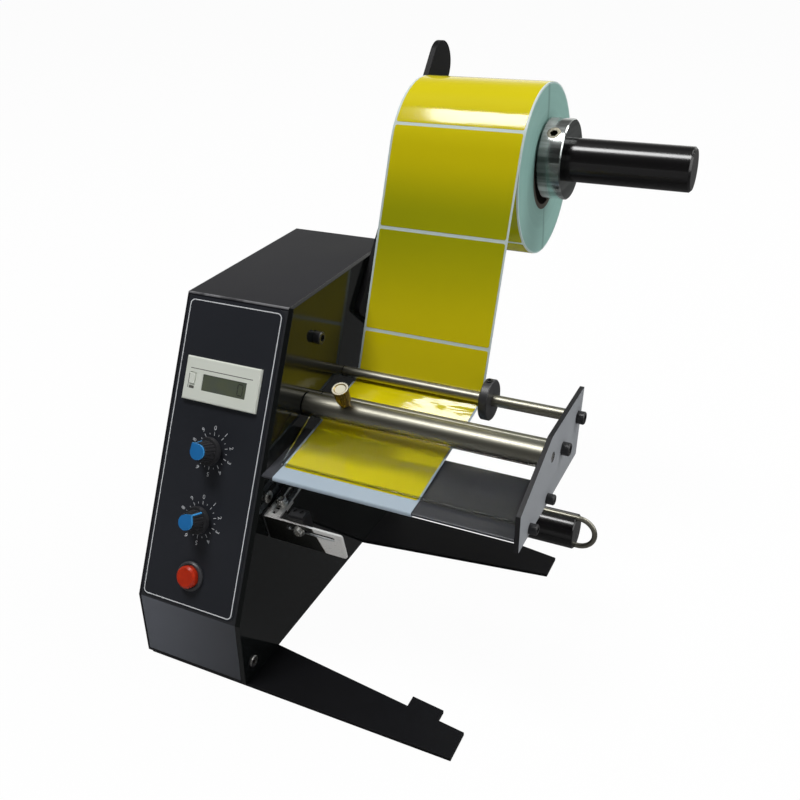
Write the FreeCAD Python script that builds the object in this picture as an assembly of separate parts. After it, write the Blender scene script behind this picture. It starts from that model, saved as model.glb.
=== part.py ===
"""Desk-top label dispenser: a motor pulls the backing liner of a label roll over a peel edge.

Bench frame: X runs along the rollers with 0 on the outer face of the side plate, Y runs back
from the front lip, Z runs up from the desk. The whole part is moved at export so that its
origin is the bottom centre of its own box. All sizes are in millimetres.
"""
import FreeCAD, Part
import math
import os

V = FreeCAD.Vector

# ---- driving dimensions --------------------------------------------------------------------
fit_gap = 0.05              # radial gap of a shaft in its bore
seat_gap = 0.3              # gap between pieces that move past each other
slide_gap = 0.1             # each side of a sheet that slides under a clamping screw

# housing
body_w = 68.4               # width, side plate included
side_t = 3.0                # side plate
sheet_t = 1.5               # folded cover and panel sheet
base_t = 2.0                # base plate
body_depth = 198.0
body_top = 195.2
lip_top = 42.4              # height where the upright front lip meets the slanted panel
lip_rake = 1.8              # the lip leans back this much over its height
panel_run = 81.7            # the slanted panel leans back this much over its height
overlay_t = 0.4             # control overlay film
overlay_margin = 1.6        # bare sheet left round the overlay

# legs
leg_t = 2.0
leg_inset = 2.0             # legs start this far inside the left wall
front_leg_y = 1.0
front_leg_root = 33.0       # width at the side plate
front_leg_tip = 18.0        # width at the free end
front_leg_reach = 123.0
ear_x = 88.5                # small ear on the rear edge of the front leg
ear_len = 19.0
ear_out = 7.2
rear_leg_from_back = 57.0    # front edge, from the back wall
rear_leg_root = 37.0
rear_leg_tip = 18.0
rear_leg_back_step = 3.5    # the rear edge comes forward this much at the free end
rear_leg_reach = 123.6
rear_leg_chamfer = 24.0
leg_hole_d = 4.2
leg_hole_right = 12.0       # leg screws, from the side plate and from the left wall
leg_hole_left = 16.0

# control panel, places are heights along the slanted panel above the lip
counter_w = 48.0
counter_h = 24.0
counter_at = 126.7
counter_proud = 2.5
counter_body_w = 44.5
counter_body_h = 21.5
counter_body_deep = 30.0
window_w = 28.5
window_h = 9.0
window_drop = 1.2           # window centre below the counter centre
window_shift = 2.4          # window centre to the right of the counter centre
key_w = 3.4
key_h = 6.0
key_from_edge = 5.6         # key centre from the left edge of the counter
key_travel = 0.8
length_knob_at = 89.5
speed_knob_at = 51.0
button_at = 19.3
knob_skirt_d = 15.8
knob_skirt_h = 2.2
knob_root_d = 12.6          # grip just above the skirt
knob_top_d = 10.0
knob_h = 14.2               # top of the cap above the panel
knob_flutes = 18
knob_flute_deep = 0.45
cap_d = 8.6
cap_h = 1.2
pointer_w = 0.9
length_turn = 130.0         # where the pointers stand, degrees from the right of the panel
speed_turn = 57.0
pot_shaft_d = 6.0
pot_bush_d = 7.0
pot_body_d = 16.5
pot_body_h = 9.0
pot_nut_d = 10.0
pot_nut_h = 2.0
button_d = 12.4
button_proud = 5.7          # top of the lamp button above the panel
button_travel = 2.5
button_ring_d = 16.5
button_ring_h = 2.2
switch_body_d = 14.2
switch_body_deep = 26.0

# roll arm and supply spindle
arm_angle = 42.1            # lean back from upright, degrees
arm_w = 27.6
arm_t = 3.5
arm_foot_from_back = 41.7   # centre of the lower end, from the back wall
arm_foot_below_top = 36.0
arm_to_spindle = 115.8      # from the lower end to the spindle axis
arm_past_spindle = 58.6     # from the spindle axis to the centre of the rounded end
spindle_d = 25.0
spindle_reach = 172.0       # free end, from the side plate
spindle_chamfer = 1.2
spindle_bolt_d = 8.0
bolt_head_d = 13.0
bolt_head_h = 7.0
bolt_grip = 15.0            # how far the bolt goes into the spindle
arm_foot_round = 3.0
arm_skin = 0.5              # left in front of the blind holes of the arm screws
arm_screw_d = 6.0
arm_screw_head_d = 10.0
arm_screw_head_h = 6.0
arm_screw_first = 12.0      # first arm screw from the lower end
arm_screw_pitch = 20.0

# label roll
web_left = 7.0              # left edge of the liner, from the side plate
web_w = 80.0
web_t = 0.3
core_bore = 40.0
core_wall = 3.0
roll_d = 98.0
collar_d = 46.0
collar_w = 13.8
collar_gap = 1.2            # from the roll to its collar
collar_screw_d = 8.0
collar_screw_lean = 38.0    # set screw turned forward from upright, degrees

# rods between the two plates
inner_gap = 140.0           # clear width between side plate and outer plate
outer_t = 2.5
rod_d = 6.6
guide_rod_y = 131.0
guide_rod_z = 135.9
web_rod_y = 104.8
web_rod_z = 131.4
tube_y = 87.7
tube_z = 136.0
tube_d = 13.8
tube_wall = 2.0
tube_shaft_d = 9.4
tube_pin_d = 5.5
guide_collar_d = 23.4
guide_collar_w = 5.0
guide_collar_at = 89.5      # left face, from the side plate
set_screw_d = 4.0
thumb_at = 26.0             # thumb screw axis, from the side plate
thumb_lean = 20.0           # turned forward from upright, degrees
thumb_head_d = 9.2
thumb_root_d = 7.8
thumb_head_h = 9.6
thumb_neck_d = 6.0
thumb_neck_h = 2.6
thumb_flutes = 20
thumb_flute_deep = 0.3

# clear press flap carried by the press tube
flap_t = 1.0
flap_left = 6.0
flap_right = 138.0
flap_edge_y = 48.8          # place of its front edge over the peel plate
flap_groove = 1.5           # how deep its rear edge sits in the tube wall

# peel plate
peel_t = 1.6
peel_edge_y = 38.0          # foremost point of the peel edge
peel_edge_z = 118.7         # height of the top surface there
peel_back_y = 84.5
peel_rise = 3.6             # the surface rises backwards, degrees
flange_low = 111.6          # lower edge of the end flanges
flange_front = 46.0
flange_bite = 2.0           # cut off the lower corners of the flanges

# outer plate corners and its screws
outer_front_y = 38.2
outer_low_z = 111.6
outer_nose_z = 131.2
outer_shoulder_y = 85.5
outer_top_z = 149.0
outer_back_top_y = 141.5
outer_back_low_y = 132.8
rod_screw_d = 7.2
peel_screw_d = 5.6
stay_deep = 8.0             # shank of the stay screw behind the side plate
screw_head_h = 4.2
peel_screw_front_y = 54.2
peel_screw_back_y = 81.2
peel_screw_z = 115.2

# rewind drive
rewind_y = 125.6
rewind_z = 64.9
rewind_d = 20.0
rewind_reach = 148.0        # free end, from the side plate
journal_d = 12.0
journal_len = 8.0
bush_flange_d = 20.0
bush_flange_t = 1.5
bush_wall = 2.0
drive_shaft_d = 6.0
drive_shaft_in_spindle = 22.0
clip_wire_d = 3.0
clip_leg = 72.0
clip_groove_w = 3.4
clip_groove_deep = 2.2
wound_liner_t = 1.6
gearbox_d = 37.0
gearbox_h = 22.0
motor_d = 32.0
motor_len = 30.0
motor_nose = 0.9
motor_nose_d = 8.0

# label sensor on its slotted bracket
bracket_t = 1.2
bracket_left = 1.0
bracket_bend_y = 34.0       # front top edge of the bend
bracket_bend_z = 95.4
bracket_turn = 12.5         # the whole bracket is turned up at the back, degrees
bracket_tab_w = 9.2
bracket_tab_len = 26.0
bracket_plate_w = 47.8
bracket_plate_h = 17.6
slot_w = 3.0
slot_inset = 4.2            # slot centre line below the top edge of the front plate
slot_left = 13.5            # slot ends of the front plate, from its left edge
slot_right = 43.0
tab_slot_from = 3.0         # slot ends of the tab, from the bend
tab_slot_to = 23.5
tab_screw_at = 12.0
mount_t = 1.5                # small angle that carries the bracket
mount_w = 7.0
mount_drop = 12.0
sensor_w = 10.0
sensor_h = 14.0
sensor_deep = 7.0
sensor_x = 22.6             # its screw
sensor_shift = -1.8         # centre of the block from its screw
sensor_top = 4.0            # above the top edge of the front plate
m3_head_d = 5.2
m3_head_h = 1.8
washer_d = 6.6
washer_t = 0.8

# electrics inside and at the back
board_w = 46.0
board_len = 70.0
board_t = 1.6
board_lift = 6.0
board_hole_in = 4.0         # corner holes, from the edges
chip_h = 3.0
smoother_d = 10.0
smoother_h = 14.0
relay_h = 12.0
plug_h = 8.0
board_y = 108.0
trafo_w = 36.0
trafo_len = 44.0
trafo_h = 34.0
trafo_step = 8.0            # the winding stands out of the core, and the feet stand out, by this
trafo_y = 42.0
inlet_w = 28.0
inlet_h = 20.0
inlet_flange_w = 50.0
inlet_flange_h = 22.6
inlet_z = 40.0
inlet_wall = 2.0
inlet_deep = 18.0
fuse_d = 14.0
fuse_z = 72.0
fuse_deep = 26.0            # barrel behind the back wall
cover_screw_d = 6.0
cover_screw_h = 1.6
cover_screw_in = 11.0       # cover screws, from the edges of the back wall
vent_count = 8              # cooling slots in the back wall
vent_low_z = 120.0
vent_pitch = 6.0
vent_len = 36.0
vent_h = 2.2
rivet_nut_bore = 3.0
rivet_nut_deep = 5.0        # behind the side plate
rivet_nut_d = 6.8           # flanged rivet nuts that show on the side plate

# ---- sizes that follow ---------------------------------------------------------------------
body_left = -body_w
floor_z = leg_t                                    # underside of the housing
panel_rise = body_top - lip_top
panel_len = math.hypot(panel_run, panel_rise)
panel_lean = math.degrees(math.atan2(panel_run, panel_rise))
panel_w = body_w - side_t
panel_mid_x = body_left + panel_w / 2
arm_foot_y = body_depth - arm_foot_from_back
arm_foot_z = body_top - arm_foot_below_top
rear_leg_y = body_depth - rear_leg_from_back
arm_dir = V(0, math.sin(math.radians(arm_angle)), math.cos(math.radians(arm_angle)))
spindle_y = arm_foot_y + arm_dir.y * arm_to_spindle
spindle_z = arm_foot_z + arm_dir.z * arm_to_spindle
arm_end_y = spindle_y + arm_dir.y * arm_past_spindle
arm_end_z = spindle_z + arm_dir.z * arm_past_spindle
roll_hang = (core_bore - spindle_d) / 2 - seat_gap
roll_y = spindle_y
roll_z = spindle_z - roll_hang
roll_right = web_left + web_w
collar_left = roll_right + collar_gap
outer_x = inner_gap
outer_face_x = inner_gap + outer_t
tip_x = spindle_reach
peel_nose_y = peel_edge_y + peel_t / 2
peel_nose_z = peel_edge_z - peel_t / 2
web_off = seat_gap + web_t / 2                     # from a face to the middle of the web
flap_edge_z = (peel_edge_z + (flap_edge_y - peel_edge_y) * math.tan(math.radians(peel_rise))
               + 2 * web_off + flap_t / 2)
rear_y = max(arm_end_y + arm_w / 2, body_depth, roll_y + roll_d / 2)
origin = V((body_left + tip_x) / 2, rear_y / 2, 0)


# ---- shape helpers -------------------------------------------------------------------------
def block(x0, x1, y0, y1, z0, z1):
    """Box between two corners."""
    return Part.makeBox(x1 - x0, y1 - y0, z1 - z0, V(x0, y0, z0))


def bent_sheet(points, t, x0, x1):
    """Sheet across X along a bent (y, z) line, t thick to the left of the line, mitred bends."""
    sides = []
    for k in range(len(points) - 1):
        dy, dz = points[k + 1][0] - points[k][0], points[k + 1][1] - points[k][1]
        n = math.hypot(dy, dz)
        sides.append((-dz / n, dy / n))
    far = []
    for k, (y, z) in enumerate(points):
        a, b = sides[max(k - 1, 0)], sides[min(k, len(sides) - 1)]
        share = t / (1 + a[0] * b[0] + a[1] * b[1])
        far.append((y + (a[0] + b[0]) * share, z + (a[1] + b[1]) * share))
    return plate_x(points + far[::-1], x0, x1)


def rod_x(d, x0, x1, y, z):
    """Round bar along X."""
    return Part.makeCylinder(d / 2, x1 - x0, V(x0, y, z), V(1, 0, 0))


def tube_x(d, bore, x0, x1, y, z):
    """Round tube along X."""
    return rod_x(d, x0, x1, y, z).cut(rod_x(bore, x0 - 1, x1 + 1, y, z))


def plate_x(points, x0, x1):
    """Flat plate across X from corners given as (y, z)."""
    wire = Part.makePolygon([V(x0, y, z) for y, z in points + points[:1]])
    return Part.Face(wire).extrude(V(x1 - x0, 0, 0))


def plate_z(points, z0, z1):
    """Flat plate across Z from corners given as (x, y)."""
    wire = Part.makePolygon([V(x, y, z0) for x, y in points + points[:1]])
    return Part.Face(wire).extrude(V(0, 0, z1 - z0))


def hexagon(af, h, at, axis):
    """Hexagon nut blank across flats af, standing on at along axis."""
    r = af / math.sqrt(3)
    points = [V(r * math.cos(math.pi * k / 3), r * math.sin(math.pi * k / 3), 0) for k in range(7)]
    nut = Part.Face(Part.makePolygon(points)).extrude(V(0, 0, h))
    nut.Placement = FreeCAD.Placement(at, FreeCAD.Rotation(V(0, 0, 1), axis))
    return nut


def socket_screw(head_d, head_h, shank_d, shank_len, at, axis):
    """Cap screw: the head stands from at along axis, the shank goes the other way."""
    head = Part.makeCylinder(head_d / 2, head_h, at, axis)
    rim = [e for e in head.Edges if e.BoundBox.DiagonalLength > head_d * 0.9
           and (e.CenterOfMass - at).dot(axis) > head_h * 0.9]
    head = head.makeChamfer(head_h * 0.12, rim)
    socket = hexagon(head_d * 0.5, head_h, at + axis * (head_h * 0.45), axis)
    shank = Part.makeCylinder(shank_d / 2, shank_len, at, axis * -1)
    return head.cut(socket).fuse(shank)


def star(r, deep, flutes, z):
    """Closed wire round Z with a V-shaped flute, deep from the crests at r, between each two crests."""
    points = []
    for k in range(flutes):
        for share, radius in ((0.0, r - deep), (0.3, r), (0.7, r)):
            a = 2 * math.pi * (k + share) / flutes
            points.append(V(radius * math.cos(a), radius * math.sin(a), z))
    return Part.makePolygon(points + points[:1])


def fluted(foot_r, top_r, h, deep, flutes):
    """Tapered round grip along Z with straight flutes, a ruled loft between two stars."""
    return Part.makeLoft([star(foot_r, deep, flutes, 0), star(top_r, deep, flutes, h)], True, True)


def on_panel(shape):
    """Moves a shape drawn flat (X across, Y up the panel, Z outwards) onto the slanted panel."""
    moved = shape.copy()
    turn = FreeCAD.Rotation(V(1, 0, 0), 90 - panel_lean)
    moved.Placement = FreeCAD.Placement(V(panel_mid_x, lip_rake, lip_top), turn).multiply(shape.Placement)
    return moved


def lean_forward(angle):
    """Unit vector in the Y-Z plane, turned forward from upright."""
    a = math.radians(angle)
    return V(0, -math.sin(a), math.cos(a))


# ---- housing -------------------------------------------------------------------------------
side_profile = [(0, floor_z), (lip_rake, lip_top), (lip_rake + panel_run, body_top),
                (body_depth, body_top), (body_depth, floor_z)]
rivet_nut_places = [(41.6, 102.4), (9.3, 11.5)]
side_screw_y = 102.7
side_screw_z = 170.6


def side_plate():
    plate = plate_x(side_profile, -side_t, 0)
    holes = [rod_x(tube_pin_d + 2 * fit_gap, -side_t, 0, tube_y, tube_z),
             rod_x(journal_d + 2 * bush_wall + 2 * fit_gap, -side_t, 0, rewind_y, rewind_z)]
    holes += [rod_x(rod_screw_d * 0.55 + 2 * fit_gap, -side_t, 0, y, z)
              for y, z in ((guide_rod_y, guide_rod_z), (web_rod_y, web_rod_z))]
    holes += [rod_x(peel_screw_d * 0.55 + 2 * fit_gap, -side_t, 0, y, peel_screw_z)
              for y in (peel_screw_front_y, peel_screw_back_y)]
    holes += [rod_x(arm_screw_d + 2 * fit_gap, -side_t, 0, along_arm(d).y, along_arm(d).z)
              for d in arm_screw_spots]
    holes += [rod_x(rivet_nut_d - 2.4, -side_t, 0, y, z) for y, z in rivet_nut_places]
    holes.append(rod_x(rod_screw_d * 0.55 + 2 * fit_gap, -side_t, 0, side_screw_y, side_screw_z))
    return plate.cut(holes)


panel_top_y = lip_rake + panel_run * (panel_rise - sheet_t) / panel_rise


def front_panel():
    """Bent sheet: upright lip and slanted panel, with the openings for the controls."""
    line = [(panel_top_y, body_top - sheet_t), (lip_rake, lip_top), (0, floor_z + base_t)]
    panel = bent_sheet(line, sheet_t, body_left + sheet_t, -side_t)
    cut = block(body_left, 0, -5, body_depth, body_top - sheet_t, body_top)
    panel = panel.cut(cut).common(block(body_left, 0, -5, body_depth, floor_z + base_t, body_top))
    half_w, half_h = counter_body_w / 2 + seat_gap, counter_body_h / 2 + seat_gap
    cuts = [Part.makeBox(2 * half_w, 2 * half_h, 12, V(-half_w, counter_at - half_h, -6))]
    for at, d in ((length_knob_at, pot_bush_d), (speed_knob_at, pot_bush_d), (button_at, switch_body_d)):
        cuts.append(Part.makeCylinder(d / 2 + fit_gap, 12, V(0, at, -6)))
    return panel.cut([on_panel(c) for c in cuts])


def panel_overlay():
    w = panel_w - 2 * overlay_margin
    h = panel_len - 2 * overlay_margin
    film = Part.makeBox(w, h, overlay_t, V(-w / 2, overlay_margin, 0))
    corners = [e for e in film.Edges if abs(e.BoundBox.ZLength - overlay_t) < 1e-6]
    film = film.makeFillet(4.0, corners)
    half_w, half_h = counter_body_w / 2 + seat_gap, counter_body_h / 2 + seat_gap
    cuts = [Part.makeBox(2 * half_w, 2 * half_h, overlay_t, V(-half_w, counter_at - half_h, 0))]
    for at, d in ((length_knob_at, pot_nut_d), (speed_knob_at, pot_nut_d), (button_at, switch_body_d)):
        cuts.append(Part.makeCylinder(d / 2 + fit_gap, overlay_t, V(0, at, 0)))
    return on_panel(film.cut(cuts))


def cover():
    """Folded sheet: left wall, top and back in one piece."""
    left = plate_x(side_profile, body_left, body_left + sheet_t)
    top = plate_x([(panel_top_y, body_top - sheet_t), (lip_rake + panel_run, body_top),
                   (body_depth, body_top), (body_depth, body_top - sheet_t)], body_left, -side_t)
    back = block(body_left, -side_t, body_depth - sheet_t, body_depth, floor_z, body_top)
    shell = left.fuse([top, back]).removeSplitter()
    window = block(panel_mid_x - inlet_w / 2 - fit_gap, panel_mid_x + inlet_w / 2 + fit_gap,
                   body_depth - sheet_t, body_depth, inlet_z - inlet_h / 2 - fit_gap,
                   inlet_z + inlet_h / 2 + fit_gap)
    fuse_hole = Part.makeCylinder(fuse_d / 2 - 1 + fit_gap, sheet_t,
                                  V(panel_mid_x, body_depth - sheet_t, fuse_z), V(0, 1, 0))
    vents = []
    for k in range(vent_count):
        z = vent_low_z + vent_pitch * k
        vents.append(block(panel_mid_x - vent_len / 2, panel_mid_x + vent_len / 2,
                           body_depth - sheet_t, body_depth, z, z + vent_h))
    return shell.cut([window, fuse_hole] + vents)


def base_plate():
    floor = block(body_left + sheet_t, -side_t, 0, body_depth - sheet_t, floor_z, floor_z + base_t)
    holes = []
    for y in (front_leg_y + front_leg_root / 2, rear_leg_y + rear_leg_root / 2):
        holes += [Part.makeCylinder(leg_hole_d / 2, base_t, V(x, y, floor_z)) for x in leg_hole_x]
    return floor.cut(holes)


cover_screw_places = [(x, z) for x in (body_left + cover_screw_in, -side_t - cover_screw_in)
                      for z in (floor_z + cover_screw_in, body_top - cover_screw_in)]


def cover_screws():
    screws = []
    for x, z in cover_screw_places:
        head = Part.makeCylinder(cover_screw_d / 2, cover_screw_h, V(x, body_depth, z), V(0, 1, 0))
        top = body_depth + cover_screw_h
        wide, narrow = cover_screw_d / 3, cover_screw_d / 15
        cross = block(x - wide, x + wide, top - cover_screw_h / 2, top, z - narrow, z + narrow)
        cross = cross.fuse(block(x - narrow, x + narrow, top - cover_screw_h / 2, top, z - wide, z + wide))
        screws.append(head.cut(cross))
    return Part.makeCompound(screws)


def rivet_nuts():
    """Flanged rivet nuts of the inner fittings; their flanges show on the side plate."""
    nuts = []
    for y, z in rivet_nut_places:
        flange = rod_x(rivet_nut_d, 0, washer_t, y, z)
        rim = [e for e in flange.Edges if e.CenterOfMass.x > washer_t * 0.9]
        flange = flange.makeChamfer(0.25, rim)
        foot = -side_t - rivet_nut_deep
        barrel = rod_x(rivet_nut_d - 2.5, foot, 0, y, z)
        nuts.append(flange.fuse(barrel).cut(rod_x(rivet_nut_bore, foot, washer_t, y, z)))
    return Part.makeCompound(nuts)


# ---- legs ----------------------------------------------------------------------------------
leg_left = body_left + leg_inset
leg_hole_x = [-side_t - leg_hole_right, body_left + leg_hole_left]


def leg_holes(y):
    return [Part.makeCylinder(leg_hole_d / 2, leg_t, V(x, y, 0)) for x in leg_hole_x]


def front_leg():
    y0 = front_leg_y
    y1 = y0 + front_leg_root
    slope = (front_leg_tip - front_leg_root) / front_leg_reach
    ear_y0 = y1 + slope * ear_x
    ear_y1 = y1 + slope * (ear_x + ear_len)
    points = [(leg_left, y0), (front_leg_reach, y0), (front_leg_reach, y0 + front_leg_tip),
              (ear_x + ear_len, ear_y1), (ear_x + ear_len, ear_y1 + ear_out),
              (ear_x, ear_y0 + ear_out), (ear_x, ear_y0),
              (0, y1), (leg_left, y1)]
    return plate_z(points, 0, leg_t).cut(leg_holes(y0 + front_leg_root / 2))


def rear_leg():
    y0 = rear_leg_y
    y1 = y0 + rear_leg_root
    tip_y1 = y1 - rear_leg_back_step
    x1 = rear_leg_reach
    bite = rear_leg_chamfer
    points = [(leg_left, y0), (0, y0), (x1, tip_y1 - rear_leg_tip), (x1, tip_y1), (x1 - bite, y1),
              (leg_left, y1)]
    return plate_z(points, 0, leg_t).cut(leg_holes(y0 + rear_leg_root / 2))


def leg_screws():
    """Countersunk screws through the legs into nuts inside the base plate."""
    screws = []
    for y in (front_leg_y + front_leg_root / 2, rear_leg_y + rear_leg_root / 2):
        for x in leg_hole_x:
            shank = Part.makeCylinder(leg_hole_d / 2 - fit_gap, leg_t - 0.2, V(x, y, 0.2))
            nut = hexagon(7.0, 3.0, V(x, y, floor_z + base_t), V(0, 0, 1))
            through = Part.makeCylinder(leg_hole_d / 2 - fit_gap, base_t, V(x, y, leg_t))
            screws.append(shank.fuse([through, nut]))
    return Part.makeCompound(screws)


# ---- control panel -------------------------------------------------------------------------
def counter_case():
    """Counter module: bezel on the panel, body through it, pockets for the window and the key."""
    bezel = Part.makeBox(counter_w, counter_h, counter_proud,
                         V(-counter_w / 2, counter_at - counter_h / 2, overlay_t))
    rim = [e for e in bezel.Edges if e.CenterOfMass.z > overlay_t + counter_proud * 0.9]
    bezel = bezel.makeChamfer(0.6, rim)
    body = Part.makeBox(counter_body_w, counter_body_h, counter_body_deep,
                        V(-counter_body_w / 2, counter_at - counter_body_h / 2,
                          overlay_t - counter_body_deep))
    case = bezel.fuse(body)
    top = overlay_t + counter_proud
    window = Part.makeBox(window_w, window_h, 1.2,
                          V(window_shift - window_w / 2, counter_at - window_h / 2 - window_drop, top - 1.2))
    key_x = -counter_w / 2 + key_from_edge
    key = Part.makeBox(key_w + 2 * seat_gap, key_h + 2 * seat_gap, 4.0,
                       V(key_x - key_w / 2 - seat_gap, counter_at - key_h / 2 - seat_gap, top - 4.0))
    return on_panel(case.cut([window, key]))


def counter_window():
    top = overlay_t + counter_proud
    pane = Part.makeBox(window_w, window_h, 0.8,
                        V(window_shift - window_w / 2, counter_at - window_h / 2 - window_drop, top - 1.2))
    return on_panel(pane)


def counter_key():
    key_x = -counter_w / 2 + key_from_edge
    top = overlay_t + counter_proud
    key = Part.makeBox(key_w, key_h, 2.4 + 0.7, V(key_x - key_w / 2, counter_at - key_h / 2, top - 2.4))
    rim = [e for e in key.Edges if e.CenterOfMass.z > top + 0.6]
    return on_panel(key.makeFillet(0.35, rim))


def pot(at):
    """Potentiometer: can behind the panel, threaded bush through it and its nut outside."""
    can = Part.makeCylinder(pot_body_d / 2, pot_body_h, V(0, at, -sheet_t - pot_body_h))
    bush = Part.makeCylinder(pot_bush_d / 2, sheet_t + pot_nut_h + 1.0, V(0, at, -sheet_t))
    nut = hexagon(pot_nut_d * 0.86, pot_nut_h, V(0, at, 0), V(0, 0, 1))
    bore = Part.makeCylinder(pot_shaft_d / 2 + fit_gap, pot_body_h + sheet_t + pot_nut_h,
                             V(0, at, -sheet_t - pot_body_h + 2.0))
    return on_panel(can.fuse([bush, nut]).cut(bore))


def pot_shaft(at):
    foot = -sheet_t - pot_body_h + 2.0 + seat_gap
    return on_panel(Part.makeCylinder(pot_shaft_d / 2, overlay_t + knob_h - 3.0 - foot, V(0, at, foot)))


knob_foot = pot_nut_h + 1.0 + seat_gap                 # underside of a knob above the panel
grip_top = knob_h - cap_h


def pointer():
    """Rib down the side of the grip, from the cap to the skirt."""
    low, high = knob_foot + knob_skirt_h, grip_top
    points = [(knob_top_d / 2 - 1.0, high), (knob_top_d / 2 + 0.25, high),
              (knob_root_d / 2 + 0.25, low), (knob_root_d / 2 - 1.0, low)]
    wire = Part.makePolygon([V(x, -pointer_w / 2, z) for x, z in points + points[:1]])
    return Part.Face(wire).extrude(V(0, pointer_w, 0))


def knob(at, turn):
    """Tapered fluted grip on a round skirt, with a bore for the shaft and a groove for the pointer."""
    foot = knob_foot
    tall = grip_top - foot
    grip = fluted(knob_root_d / 2, knob_top_d / 2, tall, knob_flute_deep, knob_flutes)
    skirt = Part.makeCone(knob_skirt_d / 2, knob_skirt_d / 2 - 0.5, knob_skirt_h)
    bore = Part.makeCylinder(pot_shaft_d / 2, overlay_t + knob_h - 3.0 - foot)
    body = grip.fuse(skirt).cut(bore)
    body.translate(V(0, 0, foot))
    return on_dial(body.cut(pointer()), at, turn)


def knob_cap(at, turn):
    """Coloured cap with a pointed rim, in one piece with the pointer rib."""
    r = cap_d / 2
    cap = Part.makeCylinder(r, cap_h, V(0, 0, grip_top))
    corners = [V(r * 0.71, -r * 0.71, grip_top), V(r * 1.36, 0, grip_top), V(r * 0.71, r * 0.71, grip_top),
               V(0, 0, grip_top)]
    tip = Part.Face(Part.makePolygon(corners + corners[:1])).extrude(V(0, 0, cap_h))
    return on_dial(cap.fuse([tip, pointer()]).removeSplitter(), at, turn)


def on_dial(shape, at, turn):
    """Puts a knob part drawn about its own axis on its dial, pointer turned from the right."""
    moved = shape.copy()
    moved.rotate(V(0, 0, 0), V(0, 0, 1), turn)
    moved.translate(V(0, at, 0))
    return on_panel(moved)


def switch_body():
    """Round lamp switch: ring in front of the panel, barrel through it, nut and terminals behind."""
    ring = Part.makeCylinder(button_ring_d / 2, button_ring_h, V(0, button_at, overlay_t))
    rim = [e for e in ring.Edges if e.CenterOfMass.z > overlay_t + button_ring_h * 0.9]
    ring = ring.makeChamfer(0.8, rim)
    foot = overlay_t - switch_body_deep
    barrel = Part.makeCylinder(switch_body_d / 2, switch_body_deep, V(0, button_at, foot))
    nut = Part.makeCylinder(button_ring_d / 2, 3.0, V(0, button_at, -sheet_t - 3.0))
    well = Part.makeCylinder(button_d / 2 + seat_gap, 10.0,
                             V(0, button_at, overlay_t + button_ring_h - 10.0))
    pins = [Part.makeBox(2.8, 0.5, 7.0, V(x - 1.4, button_at - 0.25, foot - 7.0))
            for x in (-4.0, 4.0)]
    return on_panel(ring.fuse([barrel, nut] + pins).cut(well))


def power_button():
    stem = button_travel + seat_gap
    foot = overlay_t + button_ring_h - 10.0 + stem
    button = Part.makeCylinder(button_d / 2, overlay_t + button_proud - foot, V(0, button_at, foot))
    rim = [e for e in button.Edges if e.CenterOfMass.z > overlay_t + button_proud - 0.1]
    return on_panel(button.makeChamfer(1.2, rim))


# ---- roll arm and supply spindle -----------------------------------------------------------
def along_arm(dist, x=0.0):
    """Point on the centre line of the arm, dist from its lower end."""
    return V(x, arm_foot_y, arm_foot_z) + arm_dir * dist


arm_screw_spots = [arm_screw_first, arm_screw_first + arm_screw_pitch]


def roll_arm():
    across = V(0, arm_dir.z, -arm_dir.y)
    end = along_arm(arm_to_spindle + arm_past_spindle)
    corners = [along_arm(0) - across * (arm_w / 2), end - across * (arm_w / 2),
               end + across * (arm_w / 2), along_arm(0) + across * (arm_w / 2)]
    wire = Part.makePolygon(corners + corners[:1])
    bar = Part.Face(wire).extrude(V(arm_t, 0, 0))
    foot = [e for e in bar.Edges if abs(e.BoundBox.XLength - arm_t) < 1e-6
            and (e.CenterOfMass - along_arm(0)).dot(arm_dir) < 0.1]
    bar = bar.makeFillet(arm_foot_round, foot)
    bar = bar.fuse(Part.makeCylinder(arm_w / 2, arm_t, end, V(1, 0, 0))).removeSplitter()
    holes = [rod_x(spindle_bolt_d + 2 * fit_gap, 0, arm_t, spindle_y, spindle_z)]
    holes += [rod_x(arm_screw_d + 2 * fit_gap, 0, arm_t - arm_skin, along_arm(d).y, along_arm(d).z)
              for d in arm_screw_spots]
    return bar.cut(holes)


def arm_screws():
    """Two cap screws from inside the housing into the arm, and the bolt of the supply spindle."""
    screws = [socket_screw(bolt_head_d, bolt_head_h, spindle_bolt_d - 2 * fit_gap, arm_t + bolt_grip,
                           V(0, spindle_y, spindle_z), V(-1, 0, 0))]
    length = side_t + arm_t - arm_skin - slide_gap
    for d in arm_screw_spots:
        at = along_arm(d, -side_t)
        screws.append(socket_screw(arm_screw_head_d, arm_screw_head_h, arm_screw_d, length, at,
                                   V(-1, 0, 0)))
    return Part.makeCompound(screws)


def supply_spindle():
    bar = rod_x(spindle_d, arm_t, spindle_reach, spindle_y, spindle_z)
    ends = [e for e in bar.Edges if e.CenterOfMass.x > spindle_reach - 1 and e.Length > spindle_d]
    bar = bar.makeChamfer(spindle_chamfer, ends[:1])
    return bar.cut(rod_x(spindle_bolt_d, arm_t, arm_t + bolt_grip + 1, spindle_y, spindle_z))


def collar_screw_axis():
    return lean_forward(collar_screw_lean)


def roll_collar():
    x1 = collar_left + collar_w
    ring = tube_x(collar_d, spindle_d + 4 * fit_gap, collar_left, x1, spindle_y, spindle_z)
    rims = [e for e in ring.Edges if e.Length > 3.0 * collar_d and abs(e.CenterOfMass.x - collar_left) < 0.1
            or e.Length > 3.0 * collar_d and abs(e.CenterOfMass.x - x1) < 0.1]
    ring = ring.makeChamfer(0.6, rims)
    at = V(collar_left + collar_w * 0.5, spindle_y, spindle_z)
    hole = Part.makeCylinder(collar_screw_d / 2, collar_d / 2, at, collar_screw_axis())
    return ring.cut(hole)


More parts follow.
